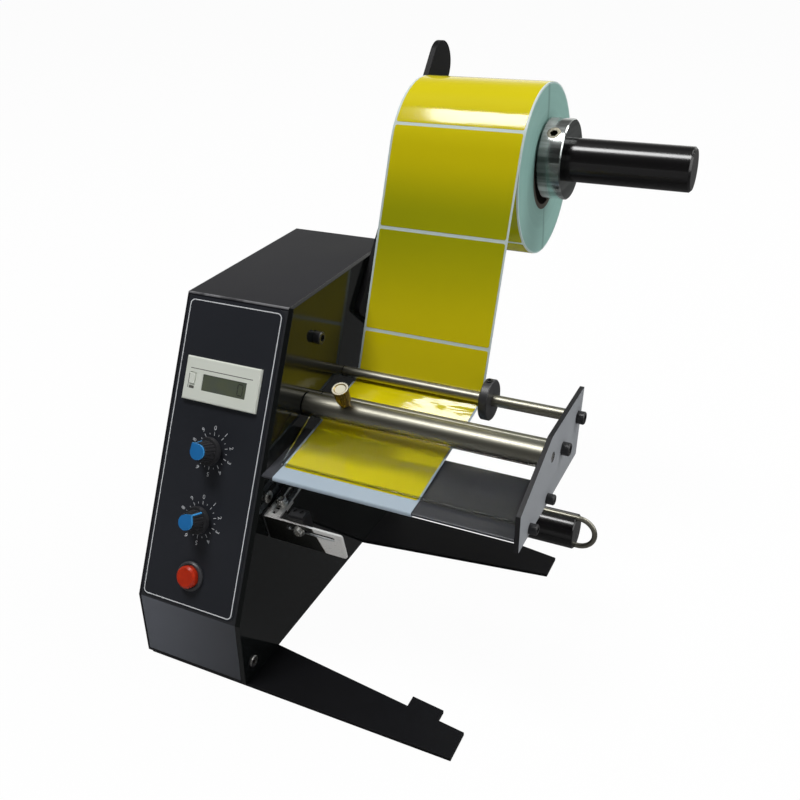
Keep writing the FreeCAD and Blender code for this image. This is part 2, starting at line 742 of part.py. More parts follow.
def roll_collar_screw():
    axis = collar_screw_axis()
    foot = spindle_d / 2 + seat_gap
    length = collar_d / 2 - 0.4 - foot
    at = V(collar_left + collar_w * 0.5, spindle_y, spindle_z) + axis * foot
    screw = Part.makeCylinder(collar_screw_d / 2 - fit_gap, length, at, axis)
    return screw.cut(hexagon(4.0, 4.0, at + axis * (length - 3.0), axis))


# ---- label roll and web --------------------------------------------------------------------
def roll_core():
    d = core_bore + 2 * core_wall
    return tube_x(d, core_bore, web_left, roll_right, roll_y, roll_z)


def label_roll():
    return tube_x(roll_d, core_bore + 2 * core_wall, web_left, roll_right, roll_y, roll_z)


def tangent(c1, r1, c2, r2):
    """Line that leaves circle 1 and meets circle 2, seen in the Y-Z plane.

    A radius is positive when the centre lies to the left of the line and negative when it lies
    to the right. The heading turns off the centre line by asin((r2 - r1) / distance).
    """
    dy, dz = c2[0] - c1[0], c2[1] - c1[1]
    a = math.atan2(dz, dy) - math.asin((r2 - r1) / math.hypot(dy, dz))
    ny, nz = -math.sin(a), math.cos(a)
    return (c1[0] - ny * r1, c1[1] - nz * r1), (c2[0] - ny * r2, c2[1] - nz * r2)


def web_face(side):
    """Edges of one face of the web at its left end; side is +1 for the left of its travel."""
    step = side * web_t / 2
    turns = [(roll_y, roll_z, roll_d / 2 + web_off), (guide_rod_y, guide_rod_z, -rod_d / 2 - web_off),
             (web_rod_y, web_rod_z, -rod_d / 2 - web_off), (flap_edge_y, flap_edge_z, -flap_t / 2 - web_off),
             (peel_nose_y, peel_nose_z, peel_t / 2 + web_off),
             (rewind_y, rewind_z, -rewind_d / 2 - wound_liner_t - web_off)]
    turns = [(y, z, r - step) for y, z, r in turns]
    legs = [tangent(a[:2], a[2], b[:2], b[2]) for a, b in zip(turns[:-1], turns[1:])]
    edges = []
    for k, (start, end) in enumerate(legs):
        edges.append(Part.makeLine(V(web_left, *start), V(web_left, *end)))
        if k + 1 < len(legs):
            y, z, r = turns[k + 1]
            p, q, c = V(web_left, *end), V(web_left, *legs[k + 1][0]), V(web_left, y, z)
            mid = (p - c) + (q - c)
            edges.append(Part.Arc(p, c + mid * (abs(r) / mid.Length), q).toShape())
    return edges


def label_web():
    """Liner with its labels, from the roll to the wound liner, in one thin strip."""
    left, right = web_face(1), web_face(-1)
    ends = [Part.makeLine(left[0].Vertexes[0].Point, right[0].Vertexes[0].Point),
            Part.makeLine(left[-1].Vertexes[-1].Point, right[-1].Vertexes[-1].Point)]
    wire = Part.Wire(Part.__sortEdges__(left + right + ends))
    return Part.Face(wire).extrude(V(web_w, 0, 0))


# ---- rods, collar and press tube -----------------------------------------------------------
def plain_rod(y, z):
    bar = rod_x(rod_d, 0, inner_gap, y, z)
    ends = [e for e in bar.Edges if e.Length > rod_d * 2 and e.BoundBox.XLength < 0.01]
    return bar.makeChamfer(0.3, ends)


def guide_rod():
    return plain_rod(guide_rod_y, guide_rod_z)


def web_rod():
    return plain_rod(web_rod_y, web_rod_z)


def guide_collar():
    x0 = guide_collar_at
    bore = rod_d + 4 * fit_gap
    disc = tube_x(guide_collar_d, bore, x0, x0 + guide_collar_w, guide_rod_y, guide_rod_z)
    rims = [e for e in disc.Edges if e.Length > guide_collar_d * 3 and e.BoundBox.XLength < 0.01]
    disc = disc.makeChamfer(0.5, rims)
    at = V(x0 + guide_collar_w / 2, guide_rod_y, guide_rod_z)
    hole = Part.makeCylinder(set_screw_d / 2, guide_collar_d, at, lean_forward(0))
    return disc.cut(hole)


def guide_collar_screw():
    axis = lean_forward(0)
    foot = rod_d / 2 + seat_gap
    length = guide_collar_d / 2 - foot + 0.6
    at = V(guide_collar_at + guide_collar_w / 2, guide_rod_y, guide_rod_z) + axis * foot
    screw = Part.makeCylinder(set_screw_d / 2 - fit_gap, length, at, axis)
    return screw.cut(hexagon(2.0, 3.0, at + axis * (length - 2.0), axis))


def press_shaft():
    """Shaft inside the press tube; its thin ends stand in holes of the two plates."""
    body = rod_x(tube_shaft_d, seat_gap, inner_gap - seat_gap, tube_y, tube_z)
    pins = rod_x(tube_pin_d, -side_t, outer_face_x - 0.2, tube_y, tube_z)
    return body.fuse(pins).removeSplitter()


def press_tube():
    """Tube on the press shaft, with a groove for the flap and a hole for the thumb screw."""
    x0, x1 = seat_gap, inner_gap - seat_gap
    tube = tube_x(tube_d, tube_shaft_d + 4 * fit_gap, x0, x1, tube_y, tube_z)
    rims = [e for e in tube.Edges if e.Length > tube_d * 2.9 and e.BoundBox.XLength < 0.01]
    tube = tube.makeChamfer(0.3, rims)
    at = V(thumb_at, tube_y, tube_z)
    hole = Part.makeCylinder(thumb_neck_d / 2 - 1 + fit_gap, tube_d, at, lean_forward(thumb_lean))
    return tube.cut([hole, flap_blank(tube_d / 2 - flap_groove)])


def flap_blank(foot):
    """Flat sheet from foot off the tube axis to the rounded front edge of the flap."""
    y, z = tube_y - flap_edge_y, tube_z - flap_edge_z
    reach = math.hypot(y, z)
    sheet = Part.makeBox(flap_right - flap_left, reach - foot, flap_t, V(0, 0, -flap_t / 2))
    sheet = sheet.fuse(Part.makeCylinder(flap_t / 2, flap_right - flap_left, V(0, 0, 0), V(1, 0, 0)))
    sheet = sheet.removeSplitter()
    turn = FreeCAD.Rotation(V(1, 0, 0), math.degrees(math.atan2(z, y)))
    sheet.Placement = FreeCAD.Placement(V(flap_left, flap_edge_y, flap_edge_z), turn)
    return sheet


def press_flap():
    return flap_blank(tube_d / 2 - flap_groove)


def thumb_screw():
    """Knurled brass screw: fluted tapered head, plain neck and a shank through the tube wall."""
    head = fluted(thumb_root_d / 2, thumb_head_d / 2, thumb_head_h, thumb_flute_deep, thumb_flutes)
    dish = Part.makeCone(thumb_head_d / 2 - 1.6, thumb_head_d / 2 - 1.0, 0.4, V(0, 0, thumb_head_h - 0.4))
    neck = Part.makeCylinder(thumb_neck_d / 2, thumb_neck_h, V(0, 0, -thumb_neck_h))
    wall = (tube_d - tube_shaft_d) / 2 - 0.2
    deep = seat_gap + wall
    shank = Part.makeCylinder(thumb_neck_d / 2 - 1, deep, V(0, 0, -thumb_neck_h - deep))
    screw = head.cut(dish).fuse([neck, shank])
    axis = lean_forward(thumb_lean)
    at = V(thumb_at, tube_y, tube_z) + axis * (tube_d / 2 + seat_gap + thumb_neck_h)
    screw.Placement = FreeCAD.Placement(at, FreeCAD.Rotation(V(0, 0, 1), axis))
    return screw


# ---- peel plate and outer plate ------------------------------------------------------------
def peel_plate():
    """Nearly level sheet with a rounded peel edge and a flange down at each end."""
    rise = math.tan(math.radians(peel_rise))
    back_z = peel_nose_z + peel_t / 2 + (peel_back_y - peel_nose_y) * rise
    line = [(peel_nose_y, peel_nose_z - peel_t / 2), (peel_back_y, back_z - peel_t)]
    sheet = bent_sheet(line, peel_t, 0, inner_gap)
    sheet = sheet.fuse(rod_x(peel_t, 0, inner_gap, peel_nose_y, peel_nose_z)).removeSplitter()
    bite = flange_bite
    side = [(flange_front, peel_nose_z), (peel_back_y, back_z - peel_t), (peel_back_y, flange_low + bite),
            (peel_back_y - bite, flange_low), (flange_front + bite, flange_low),
            (flange_front, flange_low + bite)]
    flanges = [plate_x(side, x, x + peel_t) for x in (0, inner_gap - peel_t)]
    plate = sheet.fuse(flanges).removeSplitter()
    holes = [rod_x(peel_screw_d * 0.55 + 2 * fit_gap, -1, inner_gap + 1, y, peel_screw_z)
             for y in (peel_screw_front_y, peel_screw_back_y)]
    return plate.cut(holes)


def inner_screws():
    """Cap screws of the side plate: two into the rods, two through the left flange, one stay screw."""
    screws = [socket_screw(rod_screw_d, screw_head_h, rod_screw_d * 0.55, side_t + stay_deep,
                           V(0, side_screw_y, side_screw_z), V(1, 0, 0))]
    for y, z in ((guide_rod_y, guide_rod_z), (web_rod_y, web_rod_z)):
        screws.append(socket_screw(rod_screw_d, screw_head_h, rod_screw_d * 0.55, side_t,
                                   V(-side_t, y, z), V(-1, 0, 0)))
    for y in (peel_screw_front_y, peel_screw_back_y):
        screws.append(socket_screw(peel_screw_d, 3.0, peel_screw_d * 0.55, peel_t + side_t + 1.0,
                                   V(peel_t, y, peel_screw_z), V(1, 0, 0)))
    return Part.makeCompound(screws)


def outer_plate():
    points = [(outer_front_y, outer_low_z), (outer_front_y + 1.6, outer_nose_z),
              (outer_shoulder_y, outer_top_z), (outer_back_top_y, outer_top_z),
              (outer_back_low_y, outer_low_z)]
    plate = plate_x(points, outer_x, outer_face_x)
    holes = [rod_x(tube_pin_d + 2 * fit_gap, outer_x, outer_face_x, tube_y, tube_z)]
    for y, z, d in rod_screw_places():
        holes.append(rod_x(d * 0.55 + 2 * fit_gap, outer_x, outer_face_x, y, z))
    return plate.cut(holes)


def rod_screw_places():
    return [(guide_rod_y, guide_rod_z, rod_screw_d), (web_rod_y, web_rod_z, rod_screw_d),
            (peel_screw_back_y, peel_screw_z, peel_screw_d),
            (peel_screw_front_y, peel_screw_z, peel_screw_d)]


def outer_screws():
    """Cap screws into the two rods, and through the outer plate and the peel plate flange."""
    screws = []
    for y, z, d in rod_screw_places():
        into = outer_t if d == rod_screw_d else outer_t + peel_t + 2.0
        at = V(outer_face_x, y, z)
        screws.append(socket_screw(d, screw_head_h, d * 0.55, into, at, V(1, 0, 0)))
    return Part.makeCompound(screws)


# ---- rewind drive --------------------------------------------------------------------------
def rewind_spindle():
    """Spindle with two long grooves for the clip and a journal that runs in the side plate."""
    bar = rod_x(rewind_d, bush_flange_t + seat_gap, rewind_reach, rewind_y, rewind_z)
    rim = [e for e in bar.Edges if e.Length > rewind_d * 2.9 and e.CenterOfMass.x > rewind_reach - 0.1]
    bar = bar.makeChamfer(0.6, rim)
    journal = rod_x(journal_d, -journal_len, bush_flange_t + seat_gap, rewind_y, rewind_z)
    spindle = bar.fuse(journal)
    x0 = rewind_reach - clip_leg
    cuts = [rod_x(drive_shaft_d, -journal_len, drive_shaft_in_spindle, rewind_y, rewind_z)]
    for s in (1, -1):
        z = rewind_z + s * (rewind_d / 2 - clip_groove_deep)
        top = rewind_z + s * (rewind_d / 2 + 1)
        cuts.append(block(x0, rewind_reach, rewind_y - clip_groove_w / 2, rewind_y + clip_groove_w / 2,
                          min(z, top), max(z, top)))
    return spindle.cut(cuts)


def liner_clip():
    """U-shaped spring wire that clamps the liner in the spindle grooves."""
    lever = rewind_d / 2 - clip_groove_deep + clip_wire_d / 2 + slide_gap
    legs = [rod_x(clip_wire_d, rewind_reach - clip_leg + 1.0, rewind_reach + 1.0, rewind_y,
                  rewind_z + s * lever) for s in (1, -1)]
    ring = Part.makeTorus(lever, clip_wire_d / 2, V(rewind_reach + 1.0, rewind_y, rewind_z), V(0, 1, 0))
    half = block(rewind_reach + 1.0, rewind_reach + 1.0 + lever * 2, rewind_y - 3, rewind_y + 3,
                 rewind_z - lever * 2, rewind_z + lever * 2)
    return ring.common(half).fuse(legs).removeSplitter()


def wound_liner():
    x1 = min(roll_right, rewind_reach - clip_leg - 1)
    bore = rewind_d + 2 * fit_gap
    return tube_x(rewind_d + 2 * wound_liner_t, bore, web_left, x1, rewind_y, rewind_z)


def spindle_bush():
    flange = tube_x(bush_flange_d, journal_d + 2 * fit_gap, 0, bush_flange_t, rewind_y, rewind_z)
    sleeve = tube_x(journal_d + 2 * bush_wall, journal_d + 2 * fit_gap, -side_t - 2.0, 0, rewind_y, rewind_z)
    return flange.fuse(sleeve).removeSplitter()


gearbox_face = -journal_len - 1.5


def gearbox():
    """Gear case with a bearing boss, held by four studs through the side plate."""
    case = rod_x(gearbox_d, gearbox_face - gearbox_h, gearbox_face, rewind_y, rewind_z)
    studs = []
    for k in range(4):
        a = math.pi / 4 + k * math.pi / 2
        y, z = rewind_y + 15.5 * math.cos(a), rewind_z + 15.5 * math.sin(a)
        studs.append(rod_x(5.0, gearbox_face, -side_t, y, z))
    bore = rod_x(drive_shaft_d + 2 * fit_gap, gearbox_face - 10, gearbox_face + 1, rewind_y, rewind_z)
    return case.fuse(studs).cut(bore)


def drive_motor():
    x1 = gearbox_face - gearbox_h
    can = rod_x(motor_d, x1 - motor_len, x1, rewind_y, rewind_z)
    rim = [e for e in can.Edges if e.Length > motor_d * 2.9 and e.CenterOfMass.x < x1 - motor_len + 0.1]
    can = can.makeChamfer(1.5, rim)
    nose = rod_x(motor_nose_d, x1 - motor_len - motor_nose, x1 - motor_len, rewind_y, rewind_z)
    return can.fuse(nose)


def drive_shaft():
    return rod_x(drive_shaft_d, gearbox_face - 10 + seat_gap, drive_shaft_in_spindle, rewind_y, rewind_z)


# ---- label sensor --------------------------------------------------------------------------
bracket_rot = FreeCAD.Rotation(V(1, 0, 0), bracket_turn)


def on_bracket(shape):
    """Moves a shape drawn at the bend (Y back along the tab, Z up) to its place."""
    moved = shape.copy()
    place = FreeCAD.Placement(V(bracket_left, bracket_bend_y, bracket_bend_z), bracket_rot)
    moved.Placement = place.multiply(shape.Placement)
    return moved


def slot_cut(x0, x1, y, depth):
    """Long slot cutter along X, centred on y, from z = -depth to +depth."""
    cut = Part.makeBox(x1 - x0, slot_w, 2 * depth, V(x0, y - slot_w / 2, -depth))
    return cut.fuse([Part.makeCylinder(slot_w / 2, 2 * depth, V(x, y, -depth)) for x in (x0, x1)])


def sensor_bracket():
    """Folded strip: a slotted tab that runs back and a slotted plate across the front."""
    tab = Part.makeBox(bracket_tab_w, bracket_tab_len, bracket_t, V(0, 0, -bracket_t))
    rear = [e for e in tab.Edges if abs(e.BoundBox.ZLength - bracket_t) < 1e-6
            and e.CenterOfMass.y > bracket_tab_len - 0.1]
    tab = tab.makeFillet(1.5, rear)
    tab_slot = slot_cut(tab_slot_from + slot_w / 2, tab_slot_to - slot_w / 2, 0, bracket_t + 1)
    tab_slot.Placement = FreeCAD.Placement(V(bracket_tab_w / 2, 0, 0), FreeCAD.Rotation(V(0, 0, 1), 90))
    plate = Part.makeBox(bracket_plate_w, bracket_t, bracket_plate_h, V(0, 0, -bracket_plate_h))
    ends = [e for e in plate.Edges if abs(e.BoundBox.YLength - bracket_t) < 1e-6
            and e.CenterOfMass.x > bracket_plate_w - 0.1]
    plate = plate.makeFillet(1.5, ends)
    slot = slot_cut(slot_left + slot_w / 2, slot_right - slot_w / 2, 0, bracket_t + 1)
    slot.Placement = FreeCAD.Placement(V(0, 0, -slot_inset), FreeCAD.Rotation(V(1, 0, 0), 90))
    return on_bracket(tab.fuse(plate).removeSplitter().cut([tab_slot, slot]))


def sensor_mount():
    """Angle on the side plate; the slotted tab is screwed down on its upper leaf."""
    mid = tab_screw_at
    half = mount_w / 2
    top = -bracket_t - slide_gap
    leaf = Part.makeBox(bracket_left + bracket_tab_w, mount_w, mount_t,
                        V(-bracket_left, mid - half, top - mount_t))
    drop = Part.makeBox(mount_t, mount_w, mount_drop, V(-bracket_left, mid - half, top - mount_drop))
    hole = Part.makeCylinder(1.5 + fit_gap, 6.0, V(bracket_tab_w / 2, mid, top - 5.0))
    angle = leaf.fuse(drop).removeSplitter().cut(hole)
    flat = Part.makeBox(side_t, 4 * mount_w, 4 * mount_drop,
                        V(-bracket_left - side_t, mid - 2 * mount_w, -3 * mount_drop))
    return on_bracket(angle.cut(flat))


def small_screw(length):
    """M3 screw along Z: washer and head a sliding gap above z = 0, shank below."""
    base = slide_gap + washer_t
    head = Part.makeCylinder(m3_head_d / 2, m3_head_h, V(0, 0, base))
    top = [e for e in head.Edges if e.CenterOfMass.z > base + m3_head_h * 0.9]
    head = head.makeChamfer(0.5, top).cut(hexagon(2.5, 2.0, V(0, 0, base + m3_head_h - 1.0), V(0, 0, 1)))
    shank = Part.makeCylinder(1.5 - fit_gap, length + base, V(0, 0, -length))
    disc = Part.makeCylinder(washer_d / 2, washer_t, V(0, 0, slide_gap))
    return head.fuse([shank, disc])


def bracket_screw():
    screw = small_screw(bracket_t + 3.5)
    nut = hexagon(5.5, 2.2, V(0, 0, -bracket_t - slide_gap - mount_t - 2.2), V(0, 0, 1))
    screw = screw.fuse(nut)
    screw.Placement = FreeCAD.Placement(V(bracket_tab_w / 2, tab_screw_at, 0), FreeCAD.Rotation())
    return on_bracket(screw)


sensor_mid = sensor_x - bracket_left


def sensor_body():
    """Sensor block behind the front plate, with two round windows in its top."""
    mid = sensor_mid + sensor_shift
    front = bracket_t + slide_gap
    body = Part.makeBox(sensor_w, sensor_deep, sensor_h,
                        V(mid - sensor_w / 2, front, sensor_top - sensor_h))
    rim = [e for e in body.Edges if e.CenterOfMass.z > sensor_top - 0.1]
    body = body.makeChamfer(0.8, rim)
    wells = [Part.makeCylinder(1.2, 0.8, V(mid + dx, front + 4.2, sensor_top - 0.8))
             for dx in (-2.0, 2.0)]
    hole = Part.makeCylinder(1.5 - fit_gap, 5.0, V(sensor_mid, front, -slot_inset), V(0, 1, 0))
    return on_bracket(body.cut(wells + [hole]))


def sensor_screw():
    screw = small_screw(bracket_t + 4.5)
    screw.Placement = FreeCAD.Placement(V(sensor_mid, 0, -slot_inset), FreeCAD.Rotation(V(1, 0, 0), 90))
    return on_bracket(screw)


# ---- electrics -----------------------------------------------------------------------------
inside_floor = floor_z + base_t


def board_corners():
    x0 = panel_mid_x - board_w / 2
    return [(x, y) for x in (x0 + board_hole_in, x0 + board_w - board_hole_in)
            for y in (board_y + board_hole_in, board_y + board_len - board_hole_in)]


def control_board():
    x0 = panel_mid_x - board_w / 2
    z = inside_floor + board_lift
    board = block(x0, x0 + board_w, board_y, board_y + board_len, z, z + board_t)
    board = board.cut([Part.makeCylinder(1.6, board_t, V(x, y, z)) for x, y in board_corners()])
    top = z + board_t
    w, back = board_w, board_y + board_len
    chip = block(x0 + w * 0.26, x0 + w * 0.65, back - board_len * 0.40, back - board_len * 0.29,
                 top, top + chip_h)
    cap = Part.makeCylinder(smoother_d / 2, smoother_h, V(x0 + w * 0.26, back - smoother_d, top))
    relay = block(x0 + w * 0.52, x0 + w * 0.87, back - board_len * 0.26, back - board_len * 0.09,
                  top, top + relay_h)
    plug = block(x0 + w * 0.17, x0 + w * 0.83, board_y + board_len * 0.11, board_y + board_len * 0.2,
                 top, top + plug_h)
    return board.fuse([chip, cap, relay, plug])


def board_standoffs():
    posts = []
    for x, y in board_corners():
        post = hexagon(5.0, board_lift, V(x, y, inside_floor), V(0, 0, 1))
        screw = Part.makeCylinder(1.5, board_t, V(x, y, inside_floor + board_lift))
        head = Part.makeCylinder(2.7, 1.6, V(x, y, inside_floor + board_lift + board_t))
        posts.append(post.fuse([screw, head]))
    return Part.makeCompound(posts)


def transformer():
    """Laminated core with its winding and two mounting feet."""
    x0 = panel_mid_x - trafo_w / 2
    y0, y1, z0 = trafo_y, trafo_y + trafo_len, inside_floor
    core = block(x0, x0 + trafo_w, y0 + trafo_step, y1 - trafo_step, z0, z0 + trafo_h)
    coil = block(x0 + trafo_step, x0 + trafo_w - trafo_step, y0, y1,
                 z0 + trafo_step, z0 + trafo_h - trafo_step)
    feet = block(x0 - trafo_step, x0 + trafo_w + trafo_step, y0 + trafo_len * 0.36, y1 - trafo_len * 0.36,
                 z0, z0 + sheet_t)
    return core.fuse([coil, feet]).removeSplitter()


def power_inlet():
    """Appliance inlet in the back wall: flange outside, body through the wall, three pins."""
    x, y, z = panel_mid_x, body_depth, inlet_z
    w, h, wall = inlet_w / 2, inlet_h / 2, inlet_wall
    flange = block(x - inlet_flange_w / 2, x + inlet_flange_w / 2, y, y + wall,
                   z - inlet_flange_h / 2, z + inlet_flange_h / 2)
    body = block(x - w, x + w, y - inlet_deep, y, z - h, z + h)
    floor_y = y - inlet_deep + 2 * wall
    well = block(x - w + wall, x + w - wall, floor_y, y + wall, z - h + wall, z + h - wall)
    pins = [block(x + dx - wall / 2, x + dx + wall / 2, floor_y, y - wall / 2, z + dz - wall, z + dz + wall)
            for dx, dz in ((-w / 2, -wall), (0, wall), (w / 2, -wall))]
    return flange.fuse(body).cut(well).fuse(pins).removeSplitter()


def fuse_holder():
    at = V(panel_mid_x, body_depth, fuse_z)
    cap = Part.makeCylinder(fuse_d / 2, 6, at, V(0, 1, 0))
    rim = [e for e in cap.Edges if e.CenterOfMass.y > body_depth + 5.9]
    cap = cap.makeChamfer(1.0, rim)
    slot = block(panel_mid_x - 4, panel_mid_x + 4, body_depth + 4.8, body_depth + 6,
                 fuse_z - 0.7, fuse_z + 0.7)
    barrel = Part.makeCylinder(fuse_d / 2 - 1, fuse_deep, at, V(0, -1, 0))
    return cap.cut(slot).fuse(barrel)


# ---- all pieces ----------------------------------------------------------------------------
pieces = {
    "side_plate": side_plate(), "cover": cover(), "front_panel": front_panel(),
    "base_plate": base_plate(), "panel_overlay": panel_overlay(),
    "cover_screws": cover_screws(), "rivet_nuts": rivet_nuts(),
    "front_leg": front_leg(), "rear_leg": rear_leg(), "leg_screws": leg_screws(),
    "counter_case": counter_case(), "counter_window": counter_window(), "counter_key": counter_key(),
    "length_pot": pot(length_knob_at), "length_shaft": pot_shaft(length_knob_at),
    "length_knob": knob(length_knob_at, length_turn), "length_cap": knob_cap(length_knob_at, length_turn),
    "speed_pot": pot(speed_knob_at), "speed_shaft": pot_shaft(speed_knob_at),
    "speed_knob": knob(speed_knob_at, speed_turn), "speed_cap": knob_cap(speed_knob_at, speed_turn),
    "switch_body": switch_body(), "power_button": power_button(),
    "roll_arm": roll_arm(), "arm_screws": arm_screws(), "supply_spindle": supply_spindle(),
    "roll_collar": roll_collar(),
    "roll_collar_screw": roll_collar_screw(), "roll_core": roll_core(), "label_roll": label_roll(),
    "label_web": label_web(), "guide_rod": guide_rod(), "web_rod": web_rod(),
    "guide_collar": guide_collar(), "guide_collar_screw": guide_collar_screw(),
    "press_shaft": press_shaft(), "press_tube": press_tube(), "press_flap": press_flap(),
    "thumb_screw": thumb_screw(), "inner_screws": inner_screws(),
    "peel_plate": peel_plate(), "outer_plate": outer_plate(), "outer_screws": outer_screws(),
    "rewind_spindle": rewind_spindle(), "liner_clip": liner_clip(), "wound_liner": wound_liner(),
    "spindle_bush": spindle_bush(), "gearbox": gearbox(), "drive_motor": drive_motor(),
    "drive_shaft": drive_shaft(), "sensor_bracket": sensor_bracket(), "sensor_mount": sensor_mount(),
    "bracket_screw": bracket_screw(), "sensor_body": sensor_body(), "sensor_screw": sensor_screw(),
    "control_board": control_board(), "board_standoffs": board_standoffs(),
    "transformer": transformer(), "power_inlet": power_inlet(), "fuse_holder": fuse_holder(),
}

os.makedirs("parts", exist_ok=True)
for name, shape in pieces.items():
    placed = shape.copy()
    placed.translate(origin * -1)
    placed.exportStep("parts/" + name + ".step")
    print(name, "solids", len(placed.Solids), "volume", round(placed.Volume, 1), "valid", placed.isValid())
print("origin", [round(c, 3) for c in origin], "spindle", round(spindle_y, 2), round(spindle_z, 2),
      "roll", round(roll_z, 2))
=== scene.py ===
"""Desk-top label dispenser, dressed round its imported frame.

The stage comes first, and then the sections follow the machine as it is put together: housing,
control panel, legs, roll arm with both spindles, label roll and web, rods and press tube, peel
plate, sensor and inner parts.
Sizes are in millimetres from the front lower corner of the side plate's outer face.
"""
import math

import bmesh
import bpy
import numpy as np
from mathutils import Matrix, Vector


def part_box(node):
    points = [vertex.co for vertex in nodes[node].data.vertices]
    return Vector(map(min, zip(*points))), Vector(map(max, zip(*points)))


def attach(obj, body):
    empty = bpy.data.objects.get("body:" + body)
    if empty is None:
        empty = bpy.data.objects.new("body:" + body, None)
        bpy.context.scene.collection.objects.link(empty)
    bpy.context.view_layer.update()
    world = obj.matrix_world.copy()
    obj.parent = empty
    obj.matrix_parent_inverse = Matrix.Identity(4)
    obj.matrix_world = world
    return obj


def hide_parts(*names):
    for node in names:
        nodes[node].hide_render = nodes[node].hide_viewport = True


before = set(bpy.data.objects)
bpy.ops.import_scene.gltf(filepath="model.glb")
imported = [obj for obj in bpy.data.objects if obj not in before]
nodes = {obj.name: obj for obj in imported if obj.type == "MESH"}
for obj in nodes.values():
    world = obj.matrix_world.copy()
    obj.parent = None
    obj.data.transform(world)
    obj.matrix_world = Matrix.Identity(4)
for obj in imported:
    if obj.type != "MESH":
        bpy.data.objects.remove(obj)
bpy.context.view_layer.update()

# ---- bench and camera ----------------------------------------------------------------------
# The bench is the desk that the machine is built on: X runs along the rollers with 0 on the outer
# face of the side plate, Y runs back from its front edge and Z up from the desk. The camera stands
# to the right of the housing and above it.
mm = 0.001
bench_zero = Vector((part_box("side_plate")[1].x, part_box("side_plate")[0].y, 0.0))
camera_at = (248.24, -287.81, 384.67)
camera_right = Vector((0.899915, 0.434832, -0.032761))
camera_down = Vector((0.185734, -0.450193, -0.873401))
camera_forward = Vector((-0.394531, 0.779902, -0.485899))
camera_lens = 41.09


def bench(x, y, z):
    """Point of the row frame, in metres, from bench millimetres."""
    return bench_zero + Vector((x, y, z)) * mm


camera = bpy.data.objects.new("camera", bpy.data.cameras.new("camera"))
bpy.context.scene.collection.objects.link(camera)
camera.data.lens = camera_lens
camera.data.sensor_width = 36.0
camera_turn = Matrix((camera_right, -camera_down, -camera_forward)).transposed().to_4x4()
camera.matrix_world = Matrix.Translation(bench(*camera_at)) @ camera_turn
camera.data.clip_start = 0.01
camera.data.clip_end = 50.0
bpy.context.scene.camera = camera
bpy.context.scene.view_settings.view_transform = "Standard"


# ---- floor and light -----------------------------------------------------------------------
# A wide white floor that runs out to a white surround. Both shine only to the camera and in
# mirrors, so the soft lamps alone light the machine and its shadow stays on the floor.
class Socket:
    """One output of a shader node; arithmetic on it adds Math nodes."""

    def __init__(self, out):
        self.out = out

    def node(self, kind, settings, inputs, output=0):
        """Adds a node: its settings first, then the value or the link of each named socket."""
        tree = self.out.id_data
        made = tree.nodes.new("ShaderNode" + kind)
        for name, value in settings.items():
            if name == "stops":
                elements = made.color_ramp.elements
                elements.remove(elements[0])
                elements[0].position, elements[0].color = value[0]
                for position, colour in value[1:]:
                    elements.new(position).color = colour
            else:
                setattr(made, name, value)
        for name, value in inputs.items():
            if isinstance(value, Socket):
                tree.links.new(value.out, made.inputs[name])
            else:
                made.inputs[name].default_value = value
        return Socket(made.outputs[output])

    def math(self, operation, *others):
        """Math node of this value and the others."""
        return self.node("Math", {"operation": operation}, dict(enumerate((self, *others))))

    def __add__(self, other):
        return self.math("ADD", other)

    def __mul__(self, other):
        return self.math("MULTIPLY", other)

    def __sub__(self, other):
        return self.math("SUBTRACT", other)

    def __rsub__(self, other):
        return self * -1.0 + other

    def __truediv__(self, other):
        return self.math("DIVIDE", other)

    __radd__ = __add__
    __rmul__ = __mul__

    def part(self, axis):
        """The X, Y or Z part (axis 0, 1 or 2) of this vector."""
        return self.node("SeparateXYZ", {}, {"Vector": self}, axis)

    def band(self, low, high):
        """0 below low, 1 above high and a smooth ramp between."""
        settings = {"interpolation_type": "SMOOTHSTEP"}
        return self.node("MapRange", settings, {"Value": self, "From Min": low, "From Max": high})

    def blend(self, dark, light):
        """Colour between two, by this value."""
        inputs = {"Factor": self, 6: colour_of(dark), 7: colour_of(light)}
        return self.node("Mix", {"data_type": "RGBA"}, inputs, 2)


def colour_of(value):
    """A colour link as it is, or three numbers with full alpha."""
    return value if isinstance(value, Socket) else (*value, 1.0)


def ray_kinds(tree, *kinds):
    """1 for rays of any of the kinds (Camera, Glossy, Transmission), else 0."""
    path = tree.nodes.new("ShaderNodeLightPath")
    total = sum(Socket(path.outputs[f"Is {kind} Ray"]) for kind in kinds)
    return total.math("MINIMUM", 1.0)


floor_mesh = bpy.data.meshes.new("floor")
floor_corners = np.array(((-1, -1, 0), (1, -1, 0), (1, 1, 0), (-1, 1, 0))) * 8.0
floor_mesh.from_pydata(floor_corners.tolist(), [], [(0, 1, 2, 3)])
floor = bpy.data.objects.new("floor", floor_mesh)
bpy.context.scene.collection.objects.link(floor)
floor_white = bpy.data.materials.new("floor_white")
floor_white.use_nodes = True
floor_tree = floor_white.node_tree
floor_shader = floor_tree.nodes["Principled BSDF"]
floor_shader.inputs["Base Color"].default_value = (0.85, 0.85, 0.85, 1)
floor_shader.inputs["Roughness"].default_value = 0.9
floor_shader.inputs["Specular IOR Level"].default_value = 0.0
floor_seen = ray_kinds(floor_tree, "Camera", "Transmission")
floor_mirrored = ray_kinds(floor_tree, "Glossy")
front_glow, glow_drop, glow_share = 0.3, 0.19, 0.97
floor_place = Socket(floor_tree.nodes.new("ShaderNodeTexCoord").outputs["Object"])
behind = floor_place.part(1).band(-0.30, -0.08)
glow_strength = floor_seen + (front_glow - behind * glow_drop) * floor_mirrored
glow = floor_seen.node("Emission", {}, {"Color": (1, 1, 1, 1), "Strength": glow_strength})
